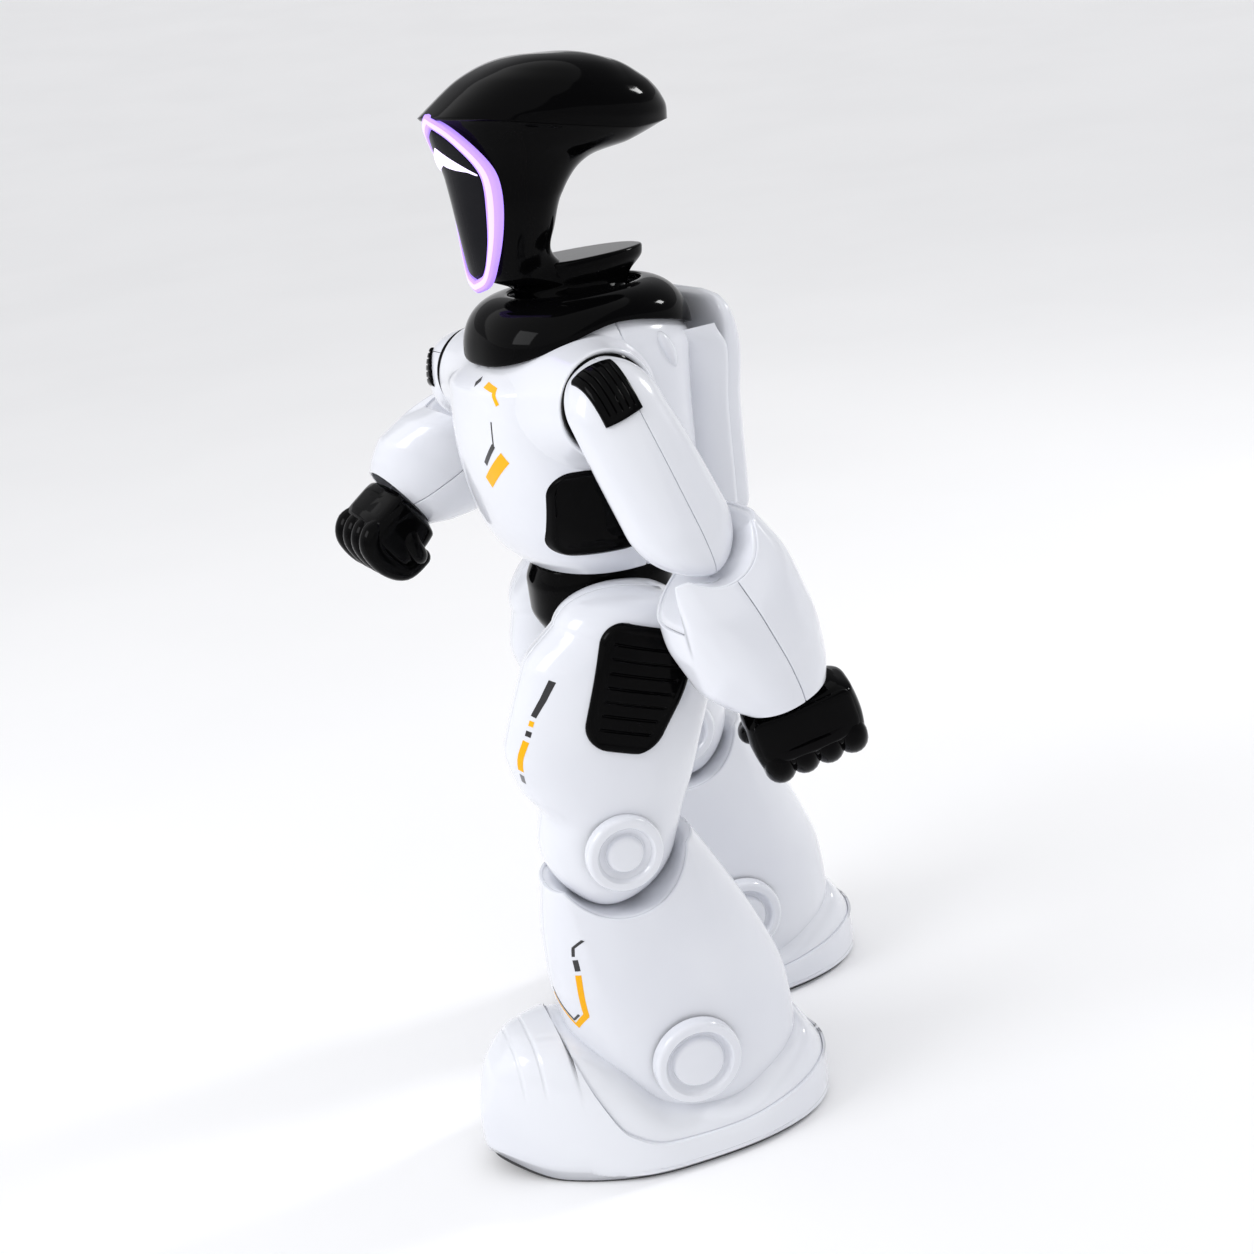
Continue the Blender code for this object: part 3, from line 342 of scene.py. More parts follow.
def piece(name, shape, place, material, body, replaces=(), slot=None, side="left",
          wall=0.0, bevel=0.0, outward=None):
    """A finished object that rides on a body; place is the frame of its shape.

    wall thickens an open sheet inwards; outward is a point inside it, which tells which way it faces.
    """
    flip = SIGNS[side]
    points, faces = shape
    work = bmesh.new()
    corners = [work.verts.new(place @ (Vector((flip * x, y, z)) * MM)) for x, y, z in points]
    for face in faces:
        loop = [corners[i] for i in face]
        if len(set(loop)) > 2:
            work.faces.new(loop)
    bmesh.ops.remove_doubles(work, verts=work.verts, dist=2e-6)
    bmesh.ops.dissolve_degenerate(work, edges=work.edges, dist=1e-6)
    bmesh.ops.recalc_face_normals(work, faces=work.faces)
    if outward:
        inside = place @ (Vector((flip * outward[0], outward[1], outward[2])) * MM)
        facing = sum((f.calc_center_median() - inside).dot(f.normal) * f.calc_area() for f in work.faces)
        if facing < 0:
            bmesh.ops.reverse_faces(work, faces=work.faces)
    mesh = bpy.data.meshes.new(name)
    work.to_mesh(mesh)
    work.free()
    thing = placed(name, mesh)
    mesh.materials.append(material)
    if wall:
        step = thing.modifiers.new("Wall", "SOLIDIFY")
        step.thickness, step.offset = wall * MM, -1.0
    if bevel:
        step = thing.modifiers.new("Bevel", "BEVEL")
        step.width, step.segments, step.limit_method = bevel * MM, 2, "ANGLE"
        step.angle_limit = radians(BEVEL_ANGLE)
    mesh.shade_smooth()
    mesh.set_sharp_from_angle(angle=radians(SHARP_ANGLE))
    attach(thing, body)
    if replaces:
        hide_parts(*replaces)
    return thing


def rider(place, body):
    """piece() for one body and its frame."""
    def add(name, shape, material, *rest, **options):
        return piece(name, shape, place, material, body, *rest, **options)
    return add


def limb(side):
    """piece() for one side of the body: the names of the piece, its body and its nodes get the side."""
    def add(name, shape, place, material, replaces=(), **options):
        body = side + "_" + RIDES.get(place, place)
        nodes = [side + "_" + node for node in replaces]
        return piece(side + "_" + name, shape, FRAMES[side, place], material, body, nodes, side=side, **options)
    return add


# ---- the forms of the limbs and the body, as in the CAD ----
KNEE_R, ELBOW_R = 25.0, 17.5           # the round ends at the knee and the elbow
KNEE_RIM, ELBOW_RIM = 10.0, 7.0        # the rims end at least this far below the joint
# rows: height, half width out, half width in, front, back, squareness
THIGH_FORM = Form([
    (-79, 20.0, 18.5, 25.0, 25.0, 2.3),
    (-75, 20.1, 18.5, 25.4, 25.0, 2.3),
    (-66, 20.2, 18.6, 35.0, 25.0, 2.3),
    (-50, 21.0, 19.0, 43.0, 26.0, 2.3),
    (-22, 21.0, 19.0, 42.0, 26.0, 2.3),
    (-6, 20.5, 19.0, 34.0, 21.0, 2.3),
], end_low=(-79, KNEE_R), end_high=(-6, 18.0))
SHIN_FORM = Form([
    (-112, 27.0, 26.0, 28.0, 38.0, 2.6),
    (-100, 29.0, 27.5, 33.0, 45.0, 2.6),
    (-80, 28.5, 27.0, 38.0, 47.0, 2.5),
    (-60, 27.0, 26.0, 38.0, 43.5, 2.4),
    (-38, 24.5, 23.5, 35.0, 37.0, 2.4),
    (-15, 22.0, 21.0, 28.5, 29.0, 2.4),
])
UPPER_ARM_FORM = Form([
    (-36, 14.5, 14.0, 17.5, 17.5, 2.2),
    (-18, 14.0, 13.5, 18.0, 16.4, 2.2),
    (0, 13.0, 10.5, 18.3, 14.2, 2.2),
], end_low=(-36, ELBOW_R), end_high=(0, 15.8))
FOREARM_FORM = Form([
    (-60.5, 14.5, 14.5, 15.5, 15.5, 2.2),
    (-53, 17.5, 17.5, 20.0, 20.5, 2.2),
    (-40, 20.0, 19.0, 24.0, 24.5, 2.3),
    (-26, 20.2, 19.2, 24.0, 25.0, 2.9),
    (-12, 18.2, 18.0, 21.5, 22.0, 3.2),
])
TORSO_FORM = Form([
    (215, 34.0, 34.0, 27.0, 26.0, 2.4),
    (222, 38.0, 38.0, 33.5, 30.0, 2.5),
    (235, 41.5, 41.5, 39.5, 33.0, 2.5),
    (252, 42.5, 42.5, 43.0, 34.5, 2.5),
    (264, 40.3, 40.3, 44.0, 35.5, 2.6),
    (282, 40.0, 40.0, 43.0, 37.0, 2.6),
    (289.5, 39.0, 39.0, 34.5, 39.5, 2.4),
    (296, 37.0, 37.0, 30.0, 36.5, 2.3),
    (301, 33.5, 33.5, 25.0, 30.0, 2.2),
])
PELVIS_FORM = Form([
    (185, 20.0, 20.0, 22.0, 22.0, 2.3),
    (196, 22.5, 22.5, 27.0, 26.0, 2.4),
    (206, 22.5, 22.5, 27.0, 26.0, 2.5),
    (213.5, 21.0, 21.0, 24.0, 23.0, 2.5),
], end_low=(185, 13.0))
OUTER, INNER, FRONT, REAR = -pi / 2, pi / 2, pi, 0.0  # start angles of half casings


def half_sheet(form, start, count, cap, around, split_axis, warp=tuple):
    """Outer face of half a form, with its parting edges on the middle plane."""
    middle_way = start + pi / 2
    sign = 1 if (cos(middle_way), sin(middle_way))[split_axis] > 0 else -1

    def at(z, k):
        share = (1 - cos(pi * k / around)) / 2
        p = list(form.point(z, start + pi * (0.35 * share + 0.65 * k / around)))
        p[split_axis] = sign * max(SEAM, p[split_axis] * sign)
        return warp(p)
    return sheet(form.levels(count, cap), range(around + 1), at)


def whole_ring(form, z, around, inset=0.0):
    return [form.point(z, a, inset) for a in circle(around)]


RIM_GAP = 0.8             # between a limb's rim and the round end above it
FOLD = radians(68)        # angle between forearm and upper arm at full bend


def round_end(radius, y, least):
    """Height at y of a limb's rim under a joint's round end, at least this far below the joint."""
    clear = radius + RIM_GAP
    return -max(sqrt(max(0.0, clear * clear - y * y)), least)


def stretched(form, point, rim):
    """Moves a form's point so that its top edge ends at the height rim."""
    x, y, z = point
    low, nominal = form.heights[0], form.heights[-1]
    return x, y, low + (rim - low) * (z - low) / (nominal - low)


def knee_rim(point):
    return stretched(SHIN_FORM, point, round_end(KNEE_R, point[1], KNEE_RIM))


def elbow_limit(x, y):
    """Height that the forearm stays under in front, so that it can fold against the upper arm.

    Both limbs lean outward, so at full bend the upper arm lies over the forearm's inner side.
    """
    deep = (ELBOW_R + RIM_GAP) * (1 - smooth(6.0, 17.5, x))
    return -(deep - y * cos(FOLD)) / sin(FOLD)


def elbow_rim(point):
    x, y, z = point
    rim = round_end(ELBOW_R, y, ELBOW_RIM)
    if y < 0:
        rim = min(rim, -11.5, elbow_limit(x, y))
    return stretched(FOREARM_FORM, point, rim)


def dish(form, rim_warp, radius, centre, steps, around, limit=None):
    """Closes a limb's rim with a dish that stays clear of the round end above it."""
    def at(r, angle):
        t = (r / steps) ** 0.8
        x, y, z = rim_warp(form.point(form.heights[-1], angle, 0.9))
        x, y, z = x * (1 - t), y * (1 - t) + centre[0] * t, (z - 0.25) * (1 - t) + centre[1] * t
        reach = hypot(y, z)
        if reach < radius:
            y, z = y * radius / reach, z * radius / reach
        return x, y, min(z, limit(x, y)) if limit and y < 0 else z
    return sheet(range(steps + 1), circle(around), at, True)


def cap_disc(rim, button, height):
    """Joint cap: a rounded ring, a groove and a slightly domed button."""
    profile = [(0, rim)]
    for k in range(9):
        a = pi / 2 * k / 8
        profile.append((height - 1.8 + 1.8 * sin(a), rim - 1.8 + 1.8 * cos(a)))
    profile += [(height - a, rim - b) for a, b in ((0, 3.4), (0.5, 4.0), (1.9, 4.6))]
    profile += [(height - a, button + b) for a, b in ((2.6, 1.6), (3.0, 0.7), (2.9, 0.3), (1.2, 0.0),
                                                      (0.7, -0.5), (0.5, -1.6))]
    profile.append((height - 0.4, 0.0))
    return turned(profile)


def mirror_x(shape):
    points, faces = shape
    return [(-x, y, z) for x, y, z in points], faces


# ---- decals ----
def ribbon(surface, path, width, steps=6):
    """A printed line on a surface: path of (u, z), width across; surface(u, z) gives the point."""
    rows, points = [], []
    for (u0, z0), (u1, z1) in zip(path, path[1:]):
        points += [(u0 + (u1 - u0) * k / steps, z0 + (z1 - z0) * k / steps) for k in range(steps)]
    points.append(path[-1])
    for i, (u, z) in enumerate(points):
        before, after = points[max(0, i - 1)], points[min(len(points) - 1, i + 1)]
        du, dz = after[0] - before[0], after[1] - before[1]
        size = hypot(du, dz)
        nu, nz = -dz / size * width / 2, du / size * width / 2
        rows.append([surface(u - nu, z - nz), surface(u, z), surface(u + nu, z + nz)])
    return grid(rows)


def printed(surface, *lines):
    """Several ribbons; each line is a path and a width."""
    return join(*(ribbon(surface, path, width) for path, width in lines))


def front_point(form, x, z, lift=0.08):
    """The point at (x, z) just off a form's front face."""
    plus, minus, front, back, square = form.widths(z)
    reach = min(0.98, abs(x) / (plus if x > 0 else minus))
    return x, -front * (1 - reach ** square) ** (1 / square) - lift, z


# ---- legs ----
FOOT_FRONT, FOOT_BACK, FOOT_HALF, FOOT_X = 77.0, 57.0, 36.5, 2.0
FOOT_MIDDLE, FOOT_REACH = (FOOT_BACK - FOOT_FRONT) / 2, (FOOT_FRONT + FOOT_BACK) / 2
HEEL_SQUARE, TOE_SQUARE = 2.6, 2.05    # squareness of the outline's two ends
ANKLE_Z, TOE_IN = 40.0, 14.0


def foot_plan(share, inset):
    """A point of the foot's outline in plan; share runs round from the outer side by the heel."""
    c, t = cos(2 * pi * share), sin(2 * pi * share)
    reach = 2 / (HEEL_SQUARE if t > 0 else TOE_SQUARE)
    y = FOOT_MIDDLE + (FOOT_REACH - inset) * power(t, reach)
    toe_in = TOE_IN * max(0.0, -t) ** 2 if c > 0 else 0.0
    return FOOT_X + (FOOT_HALF - inset - toe_in) * power(c, reach), y


def foot_ridge(y):
    return blend(y, (-77, -70, -58, -44, -30, -12, 12, 32, 46, 57), (25, 43, 51.5, 53, 46, 28, 22, 30, 34, 20))


def trim_height(y):
    """Height of the trim line along the foot's side: down from the instep, then back to the heel."""
    return blend(y, (-47, -44, -38, -30, -16, 10, 34, 50), (60, 50, 34, 20, 13.5, 12.5, 15.5, 19))


def foot_half(y, outer):
    """x of the foot's outline at y, on the outer or the inner side."""
    square = HEEL_SQUARE if y > FOOT_MIDDLE else TOE_SQUARE
    along = min(1.0, abs(y - FOOT_MIDDLE) / FOOT_REACH)
    turn = along ** (square / 2)
    across = sqrt(max(0.0, 1 - turn * turn)) ** (2 / square)
    toe_in = TOE_IN * turn ** 2 if outer and y < FOOT_MIDDLE else 0.0
    return FOOT_X + (1 if outer else -1) * (FOOT_HALF - toe_in) * across


TOE_GROOVES = (-62.0, -55.0)
TRIM_STEP = 0.05          # angle over which the instep sinks at the trim line


def foot_sheet():
    """The foot's upper from toe to heel: a toe cap and rim, and the instep sunk inside the trim line."""
    stations = [-10 - 66.9 * sin(pi / 2 * k / 60) for k in range(61)]
    stations += [-10 + 66.9 * sin(pi / 2 * k / 60) for k in range(1, 61)]
    stations += [middle + step for middle in TOE_GROOVES for step in (-0.75, -0.4, 0.0, 0.4, 0.75)]
    low, below, above = 0.9, 30, 40
    rows = []
    for y in sorted(stations):
        outer_x, inner_x = foot_half(y, True), foot_half(y, False)
        middle, half = (outer_x + inner_x) / 2, (outer_x - inner_x) / 2
        rise = max(0.5, foot_ridge(y) - low)
        trim = min(1.0, (trim_height(y) - low) / rise)
        edge = asin(trim ** (1 / 0.62))
        room = max(0.0, pi / 2 - edge)
        depth = 1.3 * smooth(0.0, 0.25, room)
        angles = [(edge * k / below, 0.0) for k in range(below + 1)]
        step = min(TRIM_STEP, room / 2)
        angles += [(edge + step * t, depth * d) for t, d in ((0.15, 0.35), (0.35, 1.25), (0.7, 1.0))]
        start = edge + step
        angles += [(start + (pi / 2 - start) * k / above, depth) for k in range(above + 1)]
        angles += [(pi - a, sink) for a, sink in reversed(angles[:-1])]
        row = []
        for a, sink in angles:
            x = half * power(cos(a), 0.55)
            z = rise * sin(a) ** 0.62
            for groove in TOE_GROOVES:
                lane = (1 - smooth(0.2, 0.8, abs(y - groove))) * smooth(0.66, 0.8, z / rise)
                sink += 0.42 * lane * smooth(0.06, 0.2, abs(x) / half)
            spring = 8.0 * smooth(-50, -79, y) ** 1.5 * (1 - smooth(0, 18, z))
            tuck = 2.4 * (1 - smooth(0, 3.4, z)) ** 2
            tuck += 0.5 * (smooth(2.6, 3.0, z) - smooth(3.4, 3.8, z))
            x *= 1 - (sink * abs(cos(a)) + tuck) / max(8.0, half)
            row.append((middle + x, y * (1 - 0.3 * tuck / 77), low - ANKLE_Z + z + spring - sink * sin(a)))
        rows.append(row)
    heel, toe = ([((end[0][0] + end[-1][0]) / 2, y, z) for x, y, z in end] for end in (rows[-1], rows[0]))
    return grid([toe, *rows, heel])


def sole_block():
    """The dark tread under the foot; it lifts a little at the toe."""
    around = 120

    def at(level, k):
        x, y = foot_plan(k / around, level[0])
        return x, y, -ANKLE_Z + level[1] + 7.0 * smooth(-50, -79, y) ** 1.5
    levels = ((4.2, 0.3), (3.4, 0.0), (2.6, 0.2), (2.3, 0.8), (2.3, 3.0), (3.0, 3.6))
    return capped(sheet(levels, range(around), at, True), around)


def corner_pull(v, half, corner):
    """How far a rounded panel's sides draw in towards its ends, at v from -1 to 1."""
    end = max(0.0, abs(v) * half - (half - corner))
    return corner - sqrt(max(0.0, corner * corner - end * end))


def thigh_pad(rows=150, columns=56, grooves=7):
    """Black rounded pad let into the thigh's outer side, with thin grooves across it."""
    z_low, z_high, front, corner, thick = -42.5, 2.5, -22.3, 8.5, 1.9
    z_middle, z_half = (z_low + z_high) / 2, (z_high - z_low) / 2

    def at(r, c):
        v, u = -1 + 2 * r / rows, sin(pi / 2 * (-1 + 2 * c / columns))
        z = z_middle + v * z_half
        back = 10.8 - 6.5 * smooth(-12, -43, z)
        y_middle, y_half = (front + back) / 2, (back - front) / 2 - corner_pull(v, z_half, corner)
        side, end = (1 - abs(u)) * y_half, (1 - abs(v)) * z_half
        wave = abs((v + 1) / 2 * (grooves + 2) % 1 - 0.5) * 2 * z_half / (grooves + 2)
        inner = smooth(4.0, 5.0, side) * (abs(v) < 1 - 1.2 / (grooves + 2))
        groove = (1 - smooth(0.15, 0.6, wave)) * inner
        panel = 0.25 * smooth(2.2, 3.0, min(side, end))
        rim = min(1.0, min(side, end + 0.3) / 2.0)
        lift = 0.2 + thick * (1 - (1 - rim) ** 2) ** 0.5 - panel - 0.6 * groove
        y = y_middle + u * y_half
        return THIGH_FORM.side(y, z) + lift, y, z
    return sheet(range(rows + 1), range(columns + 1), at)


on_thigh, on_chest = partial(front_point, THIGH_FORM), partial(front_point, TORSO_FORM)


def on_shin(x, z):
    """As the shin's front, with its upper part stretched to the rim."""
    low, top = SHIN_FORM.heights[0], SHIN_FORM.heights[-1]
    return *front_point(SHIN_FORM, x, low + (z - low) * (top - low) / (-KNEE_RIM - low))[:2], z


def leg_decals(add):
    """Printed stripes: a broken black and orange line on the thigh, a hook and an arrow on the shin."""
    black = printed(on_thigh, ([(13.3, -22.0), (12.3, -29.2), (10.9, -36.0)], 1.6),
                    ([(10.6, -41.4), (10.5, -43.4)], 1.7))
    add("thigh_stripe_black", black, "thigh", INK)
    orange = printed(on_thigh, ([(10.8, -37.6), (10.7, -39.6)], 1.4), ([(10.3, -45.2), (8.9, -56.5)], 2.0))
    add("thigh_stripe_orange", orange, "thigh", ORANGE)
    grey = ribbon(on_thigh, [(8.7, -58.0), (8.2, -61.0)], 1.6)
    add("thigh_stripe_grey", grey, "thigh", GREY, slot="black_gloss")
    hook = printed(on_shin, ([(18.9, -27.6), (16.6, -30.2), (16.5, -33.6)], 0.9),
                   ([(16.9, -34.9), (17.4, -39.3)], 1.5), ([(15.6, -57.4), (12.8, -60.3), (2.0, -50.6)], 0.9))
    add("shin_stripe_black", hook, "shin", INK)
    arrow = printed(on_shin, ([(17.4, -40.9), (18.0, -57.6)], 1.7), ([(18.1, -57.2), (13.2, -63.0)], 2.0),
                    ([(13.4, -62.6), (2.0, -52.8)], 1.1))
    add("shin_stripe_orange", arrow, "shin", ORANGE)


def build_leg(side):
    add = limb(side)
    for half, start in (("outer", OUTER), ("inner", INNER)):
        add("thigh_%s_casing" % half, half_sheet(THIGH_FORM, start, 70, 22, 56, 0), "thigh", WHITE,
            ["thigh_%s_shell" % half], wall=WALL, bevel=0.35, outward=(0, 0, -40))
        add("shin_%s_casing" % half, half_sheet(SHIN_FORM, start, 80, 0, 60, 0, warp=knee_rim), "shin", WHITE,
            ["shin_%s_shell" % half], wall=WALL, bevel=0.45, outward=(0, 0, -60))
    cup = dish(SHIN_FORM, knee_rim, KNEE_R + 0.5, (0, -27), 16, 96)
    add("knee_dish", cup, "shin", WHITE, wall=0.4, outward=(0, 0, -50))
    add("thigh_grip_pad", thigh_pad(), "thigh", BLACK, ["thigh_pad"], wall=1.2, outward=(0, 0, -20))
    for joint, place, z, outer_x, inner_x, size in (("knee", "thigh", -THIGH, 20.3, -18.8, (14, 6.6, 4.5)),
                                                    ("ankle", "shin", -SHIN, 28.6, -27.3, (16.5, 9.5, 5.0))):
        disc = cap_disc(*size)
        add(joint + "_outer_disc", moved(disc, (outer_x, 0, z)), place, WHITE, [joint + "_outer_cap"])
        add(joint + "_inner_disc", moved(mirror_x(disc), (inner_x, 0, z)), place, WHITE, [joint + "_inner_cap"])
    add("foot_casing", foot_sheet(), "foot", WHITE, ["foot_upper_shell"], wall=1.2, outward=(0, 0, -30))
    link = join(capsule_bar(12.0, 3.0), moved(capsule_bar(10.0, 2.5), (0, 0, -12)))
    add("knee_link", moved(link, (0, 0, -36)), "shin", GREY, ["shin_frame"])
    add("foot_tread", sole_block(), "foot", RUBBER, ["foot_sole"])
    leg_decals(add)


# ---- pelvis and torso ----
def build_pelvis():
    rows = [whole_ring(PELVIS_FORM, z, 96) for z in PELVIS_FORM.levels(30, 14)]
    shift = Matrix.Translation(Vector((0, -0.001, 0)))
    piece("pelvis_casing", grid(rows, True), PELVIS @ shift, BLACK, "pelvis",
          ["pelvis_shell"], wall=WALL, bevel=0.5, outward=(0, 0, 200))


def collar_low(angle):
    front, back = max(0.0, -sin(angle)), max(0.0, sin(angle))
    return 300.5 - 11.0 * front ** 1.7 - 10.5 * back ** 1.7


def collar_sheet():
    steps, wide, deep, middle, top = 28, 22.0, 24.0, 4.0, 310.3

    def at(r, a):
        t = pi / 2 * r / steps
        x, y, low = TORSO_FORM.point(collar_low(a), a, -2.3)
        mouth, spread = (wide * cos(a), middle + deep * sin(a)), cos(t) ** 0.9
        return (mouth[0] + (x - mouth[0]) * spread, mouth[1] + (y - mouth[1]) * spread,
                low + 0.6 + (top - low - 0.6) * sin(t))
    return sheet(range(steps + 1), circle(120), at, True)


def shoulder_ring():
    """The torso flares out to a round white mouth at the shoulder."""
    steps, turns, y_middle, z_middle, mouth, lip = 26, circle(110), -13.8, 277.4, 46.0, 18.6

    def flare(r, a):
        t = 1 - r / steps
        reach = lip + (7.0 - 2.5 * max(0.0, sin(a))) * t
        y, z = y_middle + reach * cos(a), min(299.5, z_middle + reach * sin(a))
        skin_x = TORSO_FORM.side(y, z) - 0.6
        return mouth + (skin_x - mouth) * (1 - (1 - t) ** 2.4), y, z
    rim = [(mouth + 0.9 * sin(radians(turn)), lip - 1.0 + cos(radians(turn))) for turn in range(30, 181, 30)]
    rows = [[flare(r, a) for a in turns] for r in range(steps + 1)]
    rows += [[(x, y_middle + reach * cos(a), z_middle + reach * sin(a)) for a in turns]
             for x, reach in rim + [(mouth - 5.5, lip - 2)]]
    return grid(rows, True)


def side_panel(count=40):
    """Rounded panel let into the torso's side, with a raised rim."""
    y_span, z_span, corner, lift, depth = (-33.6, -2.0), (224.6, 255.6), 8.0, 1.5, 0.8
    y_middle, y_half = sum(y_span) / 2, (y_span[1] - y_span[0]) / 2
    z_middle, z_half = sum(z_span) / 2, (z_span[1] - z_span[0]) / 2

    def at(r, c):
        v, u = sin(pi / 2 * (-1 + 2 * r / count)), sin(pi / 2 * (-1 + 2 * c / count))
        reach = y_half - corner_pull(v, z_half, corner)
        y, z = y_middle + u * reach, z_middle + v * z_half
        rim = min((1 - abs(u)) * reach, (1 - abs(v)) * z_half)
        return TORSO_FORM.side(y, z) + lift * smooth(0, 1.0, rim) - depth * smooth(1.6, 2.6, rim), y, z
    return sheet(range(count + 1), range(count + 1), at)


def build_torso():
    add = rider(TORSO, "torso")
    for half, start in (("front", FRONT), ("back", REAR)):
        add("torso_%s_casing" % half, half_sheet(TORSO_FORM, start, 110, 0, 90, 1), WHITE,
            ["torso_%s_shell" % half], wall=WALL, bevel=0.5, outward=(0, 0, 260))
    bottom = [whole_ring(TORSO_FORM, 215.2, 96, inset) for inset in (0.5, 6.0, 14.0)]
    add("torso_floor", grid(bottom, True), BLACK, wall=0.8, outward=(0, 0, 260))
    add("collar", collar_sheet(), BLACK, ["collar_yoke"], wall=1.4, bevel=0.4, outward=(0, 4, 280))
    for side in SIGNS:
        add(side + "_shoulder_ring", shoulder_ring(), WHITE, side=side, outward=(0, -15.5, 278.5))
        add(side + "_waist_panel", side_panel(), BLACK, [side + "_side_panel"], side=side, wall=0.8,
            outward=(0, -16, 243))
    ink = printed(on_chest, ([(3.2, 286.2), (4.8, 285.0)], 2.0), ([(15.2, 273.6), (14.9, 264.5)], 0.6),
                  ([(15.0, 265.4), (8.0, 258.0)], 1.8))
    add("chest_print_black", ink, INK)
    orange = printed(on_chest, ([(10.0, 285.3), (16.6, 284.1), (19.0, 279.4)], 1.6),
                     ([(19.6, 261.4), (6.8, 251.0)], 4.6))
    add("chest_print_orange", orange, ORANGE)
    for side, sign in SIGNS.items():
        points, faces = turned([(3.6 * cos(pi * k / 12), 3.6 * sin(pi * k / 12)) for k in range(13)], 32)
        points = [(sign * 35.2 + x, 17.0 + y * 1.1, 288.0 + z * 1.7 - y) for x, y, z in points]
        add(side + "_shoulder_boss", (points, faces), WHITE)


PACK_FORM = Form([
    (217, 22.0, 22.0, 9.0, 4.5, 3.2),
    (226, 27.0, 27.0, 10.5, 6.5, 3.2),
    (262, 28.0, 28.0, 10.5, 6.5, 3.2),
    (282, 31.0, 31.0, 8.0, 7.5, 3.0),
    (290, 30.0, 30.0, 4.0, 7.0, 2.9),
    (296, 27.6, 27.6, 3.4, 5.8, 2.8),
    (300, 23.0, 23.0, 3.0, 3.8, 2.7),
    (302, 16.0, 16.0, 2.6, 1.4, 2.6),
])
PACK_Y = 47.0


def door():
    """Rounded battery door on the back of the backpack."""
    def at(level, a):
        inset, lift = level
        x, z = (18.3 - inset) * power(cos(a), 0.2), 252 + (23.3 - inset) * power(sin(a), 0.2)
        return x, PACK_Y + PACK_FORM.widths(z)[3] + lift, z
    levels = ((0.0, -1.2), (0.0, -0.1), (0.35, 0.25), (0.9, 0.4), (3.0, 0.4))
    return topped(sheet(levels, circle(96), at, True), 96)


def build_backpack():
    add = rider(TORSO, "torso")
    around = 120
    rows = [whole_ring(PACK_FORM, z, around, 2.0 * (1 - sqrt(1 - (1 - t) ** 2)))
            for t, z in ((0.0, 217.0), (0.3, 217.4), (0.6, 217.9), (1.0, 219.0))]
    rows += [whole_ring(PACK_FORM, 219.0 + 81.0 * k / 70, around) for k in range(1, 71)]
    rows += [whole_ring(PACK_FORM, z, around, inset) for z, inset in ((301.2, 0.6), (301.8, 1.2), (302.0, 1.9))]
    shape = capped(grid(rows, True), around)
    add("backpack_casing", moved(shape, (0, PACK_Y, 0)), WHITE, ["backpack_shell"])
    for side in SIGNS:
        add(side + "_back_flange", back_flange(), WHITE, side=side, outward=(0, PACK_Y, 255))
    add("battery_door", door(), WHITE, ["battery_cover"], outward=(0, PACK_Y - 20, 252))
    screws = join(*(moved(turned([(0.0, 2.2), (0.9, 2.2), (1.1, 1.9), (1.1, 1.2), (0.5, 1.1), (0.5, 0.0)],
                                 32, "Y"), (x, PACK_Y + 6.6, z)) for x in (-13, 13) for z in (234, 270)))
    add("door_screws", screws, STEEL, outward=(0, PACK_Y - 20, 252))
    ribs = []
    for k in range(5):
        z = 285.5 + 2.4 * k
        ribs.append(moved(capsule_bar(9.0 - k, 0.7), (0, PACK_Y + PACK_FORM.widths(z)[3] - 0.1, z)))
    add("speaker_ribs", join(*ribs), GREY, outward=(0, PACK_Y - 20, 290))


BACK_EDGE = ((-6.0, -19.0), (-1.6, -14.0), (0.9, -9.0), (1.8, -5.4), (1.8, -4.2), (1.4, -3.5), (0.7, -3.2),
             (-0.2, -3.3), (-0.6, -5.0))


def back_flange():
    """Raised edge of the back casing beside the backpack."""
    def at(k, edge):
        z = 222.0 + 70.0 * k / 60
        fade = smooth(222, 226, z) * (1 - smooth(284, 292, z))
        return max(PACK_FORM.side(0, z), 20.0) + edge[0] * fade, PACK_Y + edge[1] - 2.5 * (1 - fade), z
    return sheet(range(61), BACK_EDGE, at)


def capsule_bar(half, radius):
    """A slim round-ended bar along X."""
    profile = [(-half - radius * cos(pi / 2 * k / 5), radius * sin(pi / 2 * k / 5)) for k in range(6)]
    profile += [(-x, r) for x, r in reversed(profile)]
    return turned(profile, 12)


# ---- arms ----
def skin(form, y, turn, lift):
    """Point of a form at y, looking from its axis at angle turn from +Z towards +X, moved out by lift."""
    low, high = 0.0, 40.0
    s_turn, c_turn = sin(turn), cos(turn)
    for _ in range(30):
        reach = (low + high) / 2
        x, z = reach * s_turn, reach * c_turn
        plus, minus, front, back, square = form.widths(z)
        wide, deep = max(plus if x > 0 else minus, 1e-6), max(back if y > 0 else front, 1e-6)
        inside = (abs(x) / wide) ** square + (abs(y) / deep) ** square < 1
        low, high = (reach, high) if inside else (low, reach)
    return (low + lift) * s_turn, y, (low + lift) * c_turn


def arm_pad(across=96, along=60, ribs=6):
    """Black ribbed pad over the top of the shoulder, down its outer side."""
    def at(r, c):
        v, u = r / along, c / across
        turn = radians((2 + 24 * u) * (1 - v) + (94 - 9 * u) * v)
        rim = min(u * 13.6, (1 - u) * 13.6, v * 20 + 0.1, (1 - v) * 20)
        wave = abs(sin(pi * ribs * u))
        groove = (1 - smooth(0.0, 0.5, wave)) * smooth(0.5, 1.2, rim) * (1 - smooth(0.8, 0.9, v))
        lift = 0.1 + 1.3 * (1 - (1 - min(1.0, rim / 1.2)) ** 2) ** 0.5 - 0.75 * groove
        return skin(UPPER_ARM_FORM, -12.2 + 13.6 * u, turn, lift)
    return sheet(range(along + 1), range(across + 1), at)


